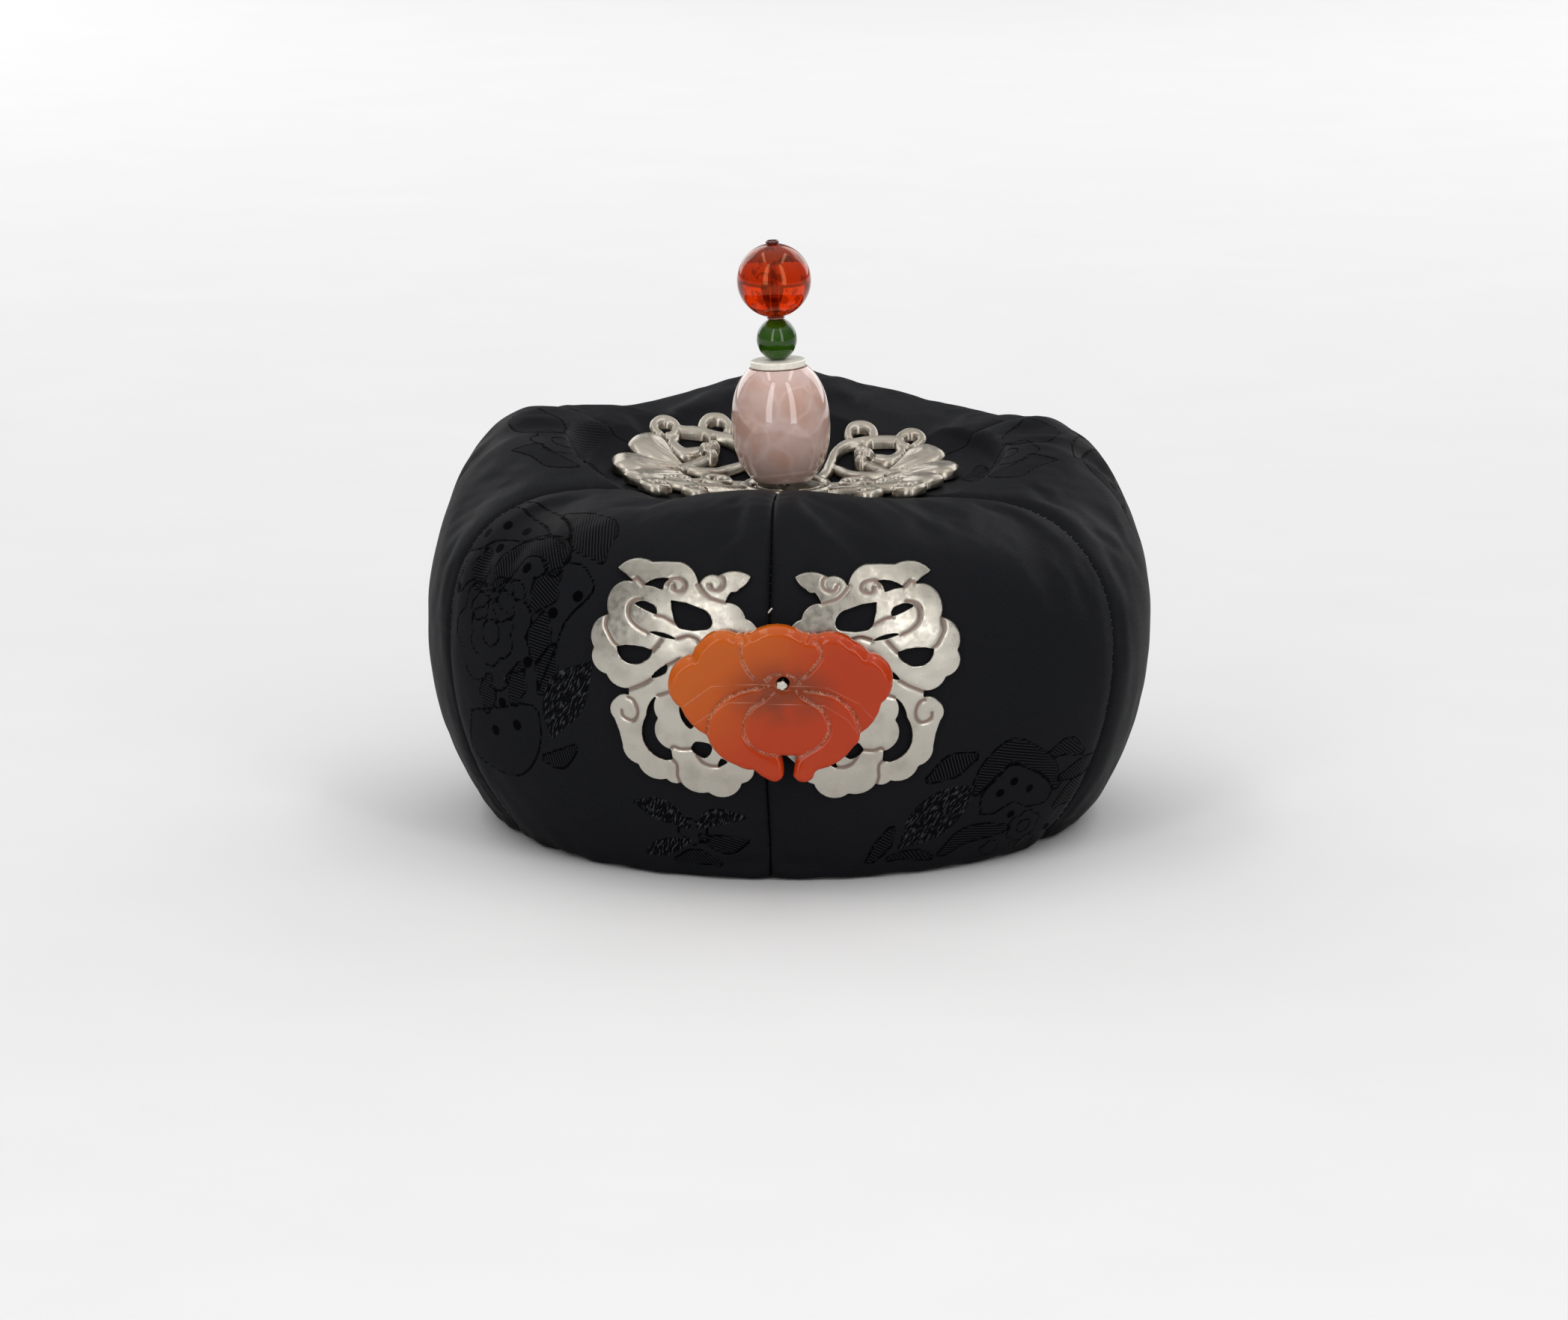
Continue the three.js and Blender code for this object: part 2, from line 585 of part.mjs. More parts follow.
const plateHoles = [
  [
    { out: 25.8, up: 60.3, bow: -0.2 }, { out: 22.0, up: 59.6, bow: -0.4 }, { out: 20.5, up: 61.8, bow: 0.6 },
  ],
  [
    { out: 20.3, up: 57.8, bow: 0.2 }, { out: 19.6, up: 54.1, bow: 0.3 }, { out: 18.3, up: 52.5, bow: 0.3 },
    { out: 13.5, up: 52.5, bow: 0.5 }, { out: 12.2, up: 54.3, bow: 0.5 }, { out: 14.5, up: 56.6, bow: 0.3 },
  ],
  [
    { out: 27.6, up: 56.7, bow: 0.1 }, { out: 23.2, up: 54.9, bow: 0.6 }, { out: 24.4, up: 57.0, bow: 0.5 },
  ],
  [{ out: 24.9, up: 51.6, bow: 0.3 }, { out: 18.9, up: 50.3, bow: 0.6 }],
  [
    { out: 31.0, up: 48.2, bow: 0.9 }, { out: 28.0, up: 45.0, bow: 0.3 }, { out: 25.6, up: 45.7, bow: 0.4 },
    { out: 24.0, up: 48.0, bow: 0.2 }, { out: 27.5, up: 48.7, bow: 0.2 },
  ],
  [
    { out: 24.4, up: 42.4, bow: 0.2 }, { out: 21.5, up: 43.5, bow: 0.3 }, { out: 21.1, up: 45.4, bow: 0.3 },
  ],
  [
    { out: 22.9, up: 39.2, bow: 0.6 }, { out: 25.2, up: 34.9, bow: 0.5 }, { out: 25.9, up: 29.8, bow: 0.8 },
    { out: 21.5, up: 25.9, bow: 0 }, { out: 20.0, up: 26.1, bow: 0 }, { out: 20.3, up: 28.2, bow: -1.8 },
    { out: 22.9, up: 34.5, bow: -0.8 },
  ],
  [{ out: 18.6, up: 37.2, bow: 0.7 }, { out: 16.4, up: 32.6, bow: 0.3 }, { out: 15.0, up: 35.5, bow: 0.3 }],
  [
    { out: 16.4, up: 28.7, bow: 0.4 }, { out: 13.6, up: 26.8, bow: 0.3 }, { out: 12.2, up: 28.8, bow: 0.3 },
    { out: 13.2, up: 29.9, bow: 0.1 }, { out: 15.5, up: 30.1, bow: 0.1 },
  ],
  [{ out: 11.1, up: 25.0, bow: 0.1 }, { out: 9.1, up: 26.1, bow: 0.1 }, { out: 10.4, up: 26.9, bow: 0.2 }],
];

const leftCorners = (rows) => rows.map(({ out, up, bow }) => ({ x: -out, z: up, bow }));

// The outside of the smooth cap along the line of sight of the plate, at x and z
function frontRadius(x, z) {
  let radius = frontBelly;
  for (let pass = 0; pass < radiusPasses; pass += 1) {
    radius = wallRadius(meridianAt(Math.asin(x / radius) / degree), z);
  }
  return radius;
}

function frontPlace(x, z, lift) {
  const radius = frontRadius(x, z) + lift;
  return new THREE.Vector3(x, -Math.sqrt(radius * radius - x * x), z);
}

function frontPlateGeometry() {
  const [middleTop, ...halfEdge] = outline(leftCorners(plateEdge).slice(0, -1));
  const edge = [middleTop, ...halfEdge, new THREE.Vector2(0, plateEdge.at(-1).up), ...mirrored(halfEdge)];
  const holes = plateHoles.map((rows) => outline(leftCorners(rows)));
  const shape = new THREE.Shape(edge);
  const stitchHole = circle(stoneHole.x - frontMiddle, stoneHole.z, stoneHole.radius, stoneHole.sides);
  for (const hole of [...holes, ...holes.map(mirrored), stitchHole]) {
    shape.holes.push(new THREE.Path(hole));
  }
  const flat = new THREE.ExtrudeGeometry(shape, { depth: frontThickness, bevelEnabled: false });
  return bend(flat, frontStep, (point) => {
    point.copy(frontPlace(point.x + frontMiddle, point.y, frontStandOff + point.z));
  });
}

// The carnelian butterfly, seen from the front

const butterflyEdge = [
  { x: -6.1, z: 51.7, bow: 2.2 },
  { x: -14.6, z: 51.0, bow: 0.3 },
  { x: -16.2, z: 48.3, bow: 0.1 },
  { x: -17.4, z: 48.0, bow: 3.0 },
  { x: -18.4, z: 38.4, bow: 0.7 },
  { x: -13.3, z: 32.8, bow: 1.0 },
  { x: -7.6, z: 27.0, bow: 0.3 },
  { x: -4.2, z: 26.1, bow: 0.2 },
  { x: -1.0, z: 24.0, bow: 0.8 },
  { x: 1.6, z: 25.4, bow: 0.2 },
  { x: 0.9, z: 29.0, bow: 0 },
  { x: 4.8, z: 29.0, bow: 0.2 },
  { x: 3.5, z: 25.0, bow: 1.2 },
  { x: 7.4, z: 24.8, bow: -0.2 },
  { x: 8.3, z: 26.2, bow: 0.9 },
  { x: 15.3, z: 31.0, bow: 0.4 },
  { x: 16.1, z: 33.6, bow: 0.9 },
  { x: 20.1, z: 39.1, bow: 3.0 },
  { x: 16.8, z: 48.6, bow: 0.3 },
  { x: 15.0, z: 51.2, bow: 1.4 },
  { x: 6.6, z: 51.7, bow: 2.6 },
];

const stoneBack = frontBelly + frontStandOff + frontThickness + stoneGap;

function butterflyGeometry() {
  const shape = new THREE.Shape(outline(butterflyEdge));
  shape.holes.push(new THREE.Path(circle(stoneHole.x, stoneHole.z, stoneHole.radius, stoneHole.sides)));
  const slab = new THREE.ExtrudeGeometry(shape, {
    depth: stoneThickness - 2 * stoneBevel,
    bevelEnabled: true,
    bevelThickness: stoneBevel,
    bevelSize: stoneBevel,
    bevelOffset: -stoneBevel,
    bevelSegments: 2,
  });
  slab.rotateX(Math.PI / 2);
  slab.translate(0, -stoneBack - stoneBevel, 0);
  return weld(slab);
}

function frontThreadGeometry() {
  const reach = stoneBack + stoneThickness - knotSink;
  const root = frontRadius(stoneHole.x, stoneHole.z) + frontThreadRootGap;
  const tip = reach + knotRadius;
  const profile = [[0, root], [frontThreadRadius, root], [frontThreadRadius, reach - knotRadius]];
  for (const turn of knotTurns) {
    profile.push([knotRadius * Math.cos(turn * degree), reach + knotRadius * Math.sin(turn * degree)]);
  }
  profile.push([0, tip]);
  const thread = turned(profile, frontThreadSides);
  thread.rotateX(Math.PI / 2);
  thread.translate(stoneHole.x, 0, stoneHole.z);
  return thread;
}

// The beads, each standing on the one below it along the leaning thread

// Half profile of a drilled bead from its foot: an ellipse cut off flat at the end radius
function beadProfile({ radius, height, endRadius, rows }) {
  const cut = 1 - (endRadius / radius) ** 2;
  const profile = [[boreRadius, 0]];
  for (let i = 0; i <= rows; i += 1) {
    const up = Math.sin(lerp(-90, 90, i / rows) * degree);
    profile.push([radius * Math.sqrt(1 - cut * up * up), height * (1 + up) / 2]);
  }
  profile.push([boreRadius, height], [boreRadius, 0]);
  return profile;
}

const beads = [
  { name: "quartz_barrel", finish: "quartz", radius: 10.1, height: 23.2, endRadius: 5.6, rows: 7, sides: 16 },
  { name: "white_ring", finish: "whiteStone", radius: 5.65, height: 1.5, endRadius: 5.0, rows: 2, sides: 16 },
  { name: "jade_bead", finish: "jade", radius: 4.1, height: 8.2, endRadius: 1.5, rows: 6, sides: 12 },
  { name: "spacer_bead", finish: "pink", radius: 1.85, height: 0.8, endRadius: 1.3, rows: 2, sides: 10 },
  { name: "amber_bead", finish: "amber", radius: 7.45, height: 14.7, endRadius: 1.6, rows: 8, sides: 16 },
  { name: "stop_bead", finish: "garnet", radius: 1.4, height: 0.9, endRadius: 1.1, rows: 2, sides: 10 },
];

// The knot that holds the thread under the padded top
const stackKnot = { radius: 3.2, height: 1.2, gap: 0.5, sides: 10 };

function threadGeometry(length) {
  const { radius, height, gap, sides } = stackKnot;
  const knotTop = dimpleHeight - topThickness - gap - stackFoot.height;
  const knotFoot = knotTop - height;
  const profile = [
    [0, knotFoot], [radius, knotFoot], [radius, knotTop],
    [threadRadius, knotTop], [threadRadius, length], [0, length],
  ];
  return turned(profile, sides);
}

// The assembly

function piece(name, geometry, finish) {
  const mesh = new THREE.Mesh(geometry, new THREE.MeshStandardMaterial(finish));
  mesh.name = name;
  return mesh;
}

function paddedCap() {
  const cap = new THREE.Group();
  for (const { name, from } of gores) {
    cap.add(piece(name, goreGeometry(from), silk));
  }
  return cap;
}

function frontOrnament() {
  const ornament = new THREE.Group();
  ornament.add(piece("front_plate", frontPlateGeometry(), silver));
  ornament.add(piece("carnelian_butterfly", butterflyGeometry(), finishes.carnelian));
  ornament.add(piece("front_thread", frontThreadGeometry(), finishes.thread));
  return ornament;
}

function beadStack() {
  const stack = new THREE.Group();
  let foot = 0;
  for (const bead of beads) {
    const mesh = piece(bead.name, turned(beadProfile(bead), bead.sides), finishes[bead.finish]);
    mesh.position.z = foot;
    stack.add(mesh);
    foot += bead.height + beadGap;
  }
  stack.add(piece("stack_thread", threadGeometry(foot), finishes.thread));
  stack.position.set(stackFoot.x, 0, stackFoot.height);
  stack.rotation.y = -stackLean * degree;
  return stack;
}

const coronet = new THREE.Group();
coronet.add(paddedCap());
coronet.add(piece("top_plate", topPlateGeometry(), silver));
coronet.add(beadStack());
coronet.add(frontOrnament());
coronet.position.y = setBack;

export default coronet;
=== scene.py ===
"""Looks of a bridal coronet: a padded black silk cap of six gores, a cast silver plate under a stack
of drilled beads on its top, and a pierced silver plate with a carved carnelian butterfly on its front.

Lengths are millimetres until a mesh is made, in the part's own frame: +Z is up, the front faces -Y
and +X is the right-hand side seen from the front. The cap's own axis stands SET_BACK behind the origin.
"""

import logging
import math
from dataclasses import dataclass
from enum import Enum
from typing import Callable, NamedTuple, Sequence

import bpy
import numpy as np
from mathutils import Matrix, Vector


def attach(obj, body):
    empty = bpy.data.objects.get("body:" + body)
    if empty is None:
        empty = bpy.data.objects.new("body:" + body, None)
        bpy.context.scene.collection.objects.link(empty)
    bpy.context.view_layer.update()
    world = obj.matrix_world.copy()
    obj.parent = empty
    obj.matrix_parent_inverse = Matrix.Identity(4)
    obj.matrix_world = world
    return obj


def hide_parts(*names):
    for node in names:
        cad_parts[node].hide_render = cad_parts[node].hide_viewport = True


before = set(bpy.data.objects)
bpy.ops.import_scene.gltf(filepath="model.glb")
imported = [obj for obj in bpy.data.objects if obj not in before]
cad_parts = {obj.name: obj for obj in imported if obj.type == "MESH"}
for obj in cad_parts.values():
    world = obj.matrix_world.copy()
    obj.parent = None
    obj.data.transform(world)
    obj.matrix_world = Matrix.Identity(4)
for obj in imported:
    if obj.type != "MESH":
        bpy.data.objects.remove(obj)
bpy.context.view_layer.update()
LOG = logging.getLogger("coronet")

Array = np.ndarray
Point = tuple[float, float]
Colour = tuple[float, float, float]
Inputs = dict[str | int, object]
Mesh = bpy.types.Mesh
Piece = bpy.types.Object
Material = bpy.types.Material
Socket = bpy.types.NodeSocket

MILLIMETRE = 0.001
SET_BACK = 3.5
BODY = "root"
PHOTO_WIDTH = 2095
PHOTO_HEIGHT = 1764
FAR = 9.0


# Plain geometry


def smooth(share: Array) -> Array:
    """Eases a share from 0 to 1 with level ends."""
    held = np.clip(share, 0.0, 1.0)
    return held * held * (3.0 - 2.0 * held)


def ripple(points: Array, wavelength: float, seed: int, waves: int = 7) -> Array:
    """Smooth unevenness made of a few waves in mixed directions.

    Args:
        points: places, one row each, in any number of axes.
        wavelength: middle length of the waves, in the unit of the points.
        seed: picks the directions and phases.
        waves: how many waves are added up.

    Returns:
        One number for each point, mostly between -1 and 1.
    """
    random = np.random.default_rng(seed)
    directions = random.normal(size=(waves, points.shape[-1]))
    directions /= np.linalg.norm(directions, axis=1, keepdims=True)
    lengths = wavelength * random.uniform(0.7, 1.5, waves)
    phases = random.uniform(0.0, 2.0 * math.pi, waves)
    angles = points @ directions.T * (2.0 * math.pi / lengths) + phases
    return np.sin(angles).sum(axis=-1) / math.sqrt(waves)


def curve_through(rows: Sequence[Sequence[float]], per_span: int = 6) -> Array:
    """A smooth line through control rows, whose further columns are eased along with the places.

    Args:
        rows: control rows of equal length, place first.
        per_span: how many steps each span is cut into.

    Returns:
        The rows of the smooth line, with the first and last control row at its ends.
    """
    control = np.array(rows, float)
    if len(control) == 2:
        return control
    padded = np.vstack([2 * control[0] - control[1], control, 2 * control[-1] - control[-2]])
    share = np.linspace(0.0, 1.0, per_span, endpoint=False)[:, None]
    spans = []
    for before, start, end, after in zip(padded[:-3], padded[1:-2], padded[2:-1], padded[3:]):
        slope_in = (end - before) / 2
        slope_out = (after - start) / 2
        bend = 3 * (end - start) - 2 * slope_in - slope_out
        twist = 2 * (start - end) + slope_in + slope_out
        spans.append(start + share * (slope_in + share * (bend + share * twist)))
    return np.vstack([*spans, control[-1:]])


class Corner(NamedTuple):
    """A corner of an outline, with how far the edge that starts there swells to the right of its run."""

    across: float
    up: float
    bow: float = 0.0


def arc_points(start: Array, end: Array, bow: float, turn_step: float = 0.2) -> Array:
    """Points along a round arc, leaving out its far end.

    Args:
        start: first end.
        end: far end.
        bow: how far the arc swells to the right of the way it runs.
        turn_step: the turn between two points, in radians.

    Returns:
        The points, one row each.
    """
    chord = float(np.linalg.norm(end - start))
    half_turn = 2.0 * math.atan(2.0 * bow / chord)
    if abs(half_turn) < 0.02:
        return start[None]
    along = (end - start) / chord
    right = np.array([along[1], -along[0]])
    steps = max(2, round(2.0 * abs(half_turn) / turn_step))
    radius = chord / (2.0 * math.sin(half_turn))
    turn = np.linspace(-half_turn, half_turn, steps, endpoint=False)[:, None]
    run = chord / 2 + radius * np.sin(turn)
    rise = radius * (np.cos(turn) - math.cos(half_turn))
    return start + run * along + rise * right


def closed_outline(corners: Sequence[Corner]) -> Array:
    """The points of a closed outline through corners, with its bowed edges as arcs."""
    ends = [np.array([corner.across, corner.up]) for corner in corners]
    arcs = [
        arc_points(start, end, corner.bow)
        for corner, start, end in zip(corners, ends, [*ends[1:], ends[0]])
    ]
    return np.vstack(arcs)


def loop_distance(points: Array, loop: Array) -> Array:
    """Signed distance of plan points to a closed loop.

    Args:
        points: plan points, one row each.
        loop: the loop's corners in order.

    Returns:
        The distance for each point, negative inside the loop.
    """
    nearest = np.full(len(points), np.inf)
    inside = np.zeros(len(points), bool)
    for start, end in zip(loop, np.roll(loop, -1, axis=0)):
        edge = end - start
        offset = points - start
        share = np.clip(offset @ edge / max(edge @ edge, 1e-12), 0.0, 1.0)
        gap = offset - share[:, None] * edge
        nearest = np.minimum(nearest, np.einsum("ij,ij->i", gap, gap))
        crosses = (start[1] > points[:, 1]) != (end[1] > points[:, 1])
        rise = edge[1] if edge[1] else 1e-12
        inside ^= crosses & (points[:, 0] < start[0] + edge[0] * (points[:, 1] - start[1]) / rise)
    return np.where(inside, -1.0, 1.0) * np.sqrt(nearest)


class LineFit(NamedTuple):
    """How plan points lie beside a line: distance, signed side offset and the line's own values."""

    distance: Array
    side: Array
    values: Array


def line_fit(points: Array, line: Array) -> LineFit:
    """Nearest place on a line for each plan point.

    Args:
        points: plan points, one row each.
        line: rows of the line, whose first two columns are its place.

    Returns:
        Distance, signed offset to the left of the line, and the line's further columns there.
    """
    nearest = np.full(len(points), np.inf)
    side = np.zeros(len(points))
    values = np.zeros((len(points), line.shape[1] - 2))
    for start, end in zip(line[:-1], line[1:]):
        edge = end[:2] - start[:2]
        offset = points - start[:2]
        share = np.clip(offset @ edge / max(edge @ edge, 1e-12), 0.0, 1.0)
        gap = offset - share[:, None] * edge
        distance = np.hypot(gap[:, 0], gap[:, 1])
        closer = distance < nearest
        nearest[closer] = distance[closer]
        cross = edge[0] * offset[:, 1] - edge[1] * offset[:, 0]
        side[closer] = np.sign(cross[closer]) * distance[closer]
        along = start[2:] + share[:, None] * (end[2:] - start[2:])
        values[closer] = along[closer]
    return LineFit(nearest, side, values)


def to_frame(points: Array) -> Array:
    """Moves points from the cap's own axis, in millimetres, into the part's frame in metres."""
    return (points + np.array([0.0, SET_BACK, 0.0])) * MILLIMETRE


# Meshes


class Solid(NamedTuple):
    """The points and faces of a closed body, with named values for its points."""

    points: Array
    faces: list[list[int]]
    values: dict[str, Array]


def new_piece(name: str, data: bpy.types.ID) -> Piece:
    """Adds an object to the scene."""
    made = bpy.data.objects.new(name, data)
    bpy.context.scene.collection.objects.link(made)
    return made


def mesh_piece(name: str, solid: Solid, smooth_angle: float = 40.0) -> Piece:
    """A Blender object at the origin from a closed body in the part's frame.

    Args:
        name: the piece's name.
        solid: its points in metres, its faces and its point values.
        smooth_angle: edges sharper than this, in degrees, stay sharp.

    Returns:
        The new object, with outward faces.
    """
    mesh = bpy.data.meshes.new(name)
    mesh.from_pydata(solid.points.tolist(), [], solid.faces)
    if signed_volume(mesh) < 0:
        mesh.flip_normals()
    for key, numbers in solid.values.items():
        attribute = mesh.attributes.new(key, "FLOAT", "POINT")
        attribute.data.foreach_set("value", np.ascontiguousarray(numbers, np.float32))
    finish_mesh(mesh, smooth_angle)
    return new_piece(name, mesh)


def finish_mesh(mesh: Mesh, smooth_angle: float) -> None:
    """Shades a mesh smooth up to an angle between faces, in degrees."""
    mesh.validate()
    mesh.shade_smooth()
    mesh.set_sharp_from_angle(angle=math.radians(smooth_angle))


def signed_volume(mesh: Mesh) -> float:
    """Volume of a closed mesh, negative where its faces point inwards.

    Args:
        mesh: a closed mesh.

    Returns:
        Its volume in cubic metres.
    """
    mesh.calc_loop_triangles()
    corners = np.zeros(len(mesh.loop_triangles) * 3, np.int32)
    mesh.loop_triangles.foreach_get("vertices", corners)
    places = np.zeros(len(mesh.vertices) * 3, np.float32)
    mesh.vertices.foreach_get("co", places)
    a, b, c = places.reshape(-1, 3)[corners.reshape(-1, 3)].transpose(1, 0, 2).astype(float)
    return float(np.einsum("ij,ij->i", a, np.cross(b, c)).sum() / 6.0)


def dress(piece: Piece, material: Material, slot: str, *nodes: str) -> None:
    """Gives a piece its material and its body, and hides the CAD nodes that it stands for.

    Args:
        piece: the piece.
        material: what it is made of.
        slot: not used.
        nodes: names of the CAD nodes, if it stands for any.
    """
    piece.data.materials.clear()
    piece.data.materials.append(material)
    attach(piece, BODY)
    if nodes:
        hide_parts(*nodes)
    LOG.info("%s: %d faces", piece.name, len(piece.data.polygons))


class Sheet(NamedTuple):
    """A flat sheet cut to an outline on a square lattice."""

    points: Array
    faces: list[list[int]]
    rim_edges: list[tuple[int, int]]
    rim: Array
    inward: Array


def slope(field: Callable[[Array], Array], points: Array, reach: float = 0.02) -> Array:
    """The direction in which a plan field grows fastest, as unit rows."""
    rises = [
        field(points + step) - field(points - step)
        for step in (np.array([reach, 0.0]), np.array([0.0, reach]))
    ]
    rows = np.stack(rises, axis=1)
    return rows / np.maximum(np.linalg.norm(rows, axis=1, keepdims=True), 1e-9)


def cut_sheet(low: Point, high: Point, step: float, field: Callable[[Array], Array]) -> Sheet:
    """Cuts a lattice of square cells along the zero line of a signed-distance field.

    Args:
        low: lowest corner of the lattice.
        high: highest corner of the lattice.
        step: side of a cell.
        field: signed distance to the outline, negative on the material.

    Returns:
        The sheet, with its border on the outline.
    """
    across = np.arange(low[0], high[0] + step, step)
    up = np.arange(low[1], high[1] + step, step)
    points = np.stack(np.meshgrid(across, up, indexing="ij"), axis=-1).reshape(-1, 2)
    level = field(points)
    near = np.abs(level) < 0.28 * step
    points[near] -= level[near, None] * slope(field, points[near])
    level[near] = 0.0
    index = np.arange(len(points)).reshape(len(across), len(up))
    corners = [index[:-1, :-1], index[1:, :-1], index[1:, 1:], index[:-1, 1:]]
    cells = np.stack(corners, axis=-1).reshape(-1, 4)
    kept = (level[cells] <= 0).sum(axis=1)
    solid = (level[cells] < 0).any(axis=1)
    faces = cells[(kept == 4) & solid].tolist()
    crossings: dict[tuple[int, int], int] = {}
    extra: list[Array] = []
    for cell in cells[(kept < 4) & solid].tolist():
        ring = []
        for start, end in zip(cell, cell[1:] + cell[:1]):
            if level[start] <= 0:
                ring.append(start)
            if level[start] * level[end] < 0:
                key = (min(start, end), max(start, end))
                if key not in crossings:
                    share = level[start] / (level[start] - level[end])
                    crossings[key] = len(points) + len(extra)
                    extra.append(points[start] + share * (points[end] - points[start]))
                ring.append(crossings[key])
        if len(ring) >= 3:
            faces.append(ring)
    points = np.vstack([points, *[place[None] for place in extra]])
    used = np.unique(np.concatenate([np.array(face) for face in faces]))
    renumber = np.full(len(points), -1)
    renumber[used] = np.arange(len(used))
    faces = [[int(renumber[i]) for i in face] for face in faces]
    points = points[used]
    edges = {edge for face in faces for edge in zip(face, face[1:] + face[:1])}
    rim_edges = sorted(edge for edge in edges if edge[::-1] not in edges)
    rim = np.array(sorted({i for edge in rim_edges for i in edge}))
    return Sheet(points, faces, rim_edges, rim, -slope(field, points[rim]))


def slab(
    sheet: Sheet,
    heights: Array,
    place: Callable[[Array, Array], Array],
    chamfer: float,
    values: dict[str, Array],
) -> Solid:
    """Gives a flat sheet its thickness and its relief.

    Args:
        sheet: the cut sheet.
        heights: height of the upper face over the lower one at each point of the sheet.
        place: turns plan points and heights into places in the cap's own axes.
        chamfer: width and depth of the broken edge round the upper face.
        values: named values for the sheet's points.

    Returns:
        The closed body in the part's frame.
    """
    count = len(sheet.points)
    upper = sheet.points.copy()
    upper[sheet.rim] += chamfer * sheet.inward
    edge_heights = np.maximum(heights[sheet.rim] - chamfer, 0.3 * heights[sheet.rim])
    places = np.vstack([
        place(upper, heights),
        place(sheet.points[sheet.rim], edge_heights),
        place(sheet.points, np.zeros(count)),
    ])
    ring = {int(point): count + i for i, point in enumerate(sheet.rim)}
    foot = count + len(sheet.rim)
    faces = list(sheet.faces)
    faces += [[foot + i for i in reversed(face)] for face in sheet.faces]
    for start, end in sheet.rim_edges:
        faces.append([end, start, ring[start], ring[end]])
        faces.append([ring[end], ring[start], foot + start, foot + end])
    spread = {
        key: np.concatenate([numbers, numbers[sheet.rim], numbers]) for key, numbers in values.items()
    }
    return Solid(to_frame(places), faces, spread)


# Shader nodes


class Nodes:
    """A node tree under construction, with short ways to add and join its nodes."""

    def __init__(self, tree: bpy.types.NodeTree) -> None:
        """Works on one tree."""
        self.nodes = tree.nodes
        self.links = tree.links

    def node(self, kind: str, sockets: Inputs | None = None, **settings: object) -> bpy.types.Node:
        """Adds a node.

        Args:
            kind: the node's type.
            sockets: a value or an output for each named or numbered input.
            settings: the node's own settings.

        Returns:
            The node.
        """
        made = self.nodes.new(kind)
        for key, setting in settings.items():
            setattr(made, key, setting)
        for key, source in (sockets or {}).items():
            if isinstance(source, Socket):
                self.links.new(source, made.inputs[key])
            else:
                made.inputs[key].default_value = source
        return made

    def out(self, kind: str, sockets: Inputs | None = None, **settings: object) -> Socket:
        """Adds a node and gives its first output."""
        return self.node(kind, sockets, **settings).outputs[0]

    def math(self, operation: str, *terms: object) -> Socket:
        """One step of arithmetic on numbers or outputs."""
        return self.out("ShaderNodeMath", dict(enumerate(terms)), operation=operation)


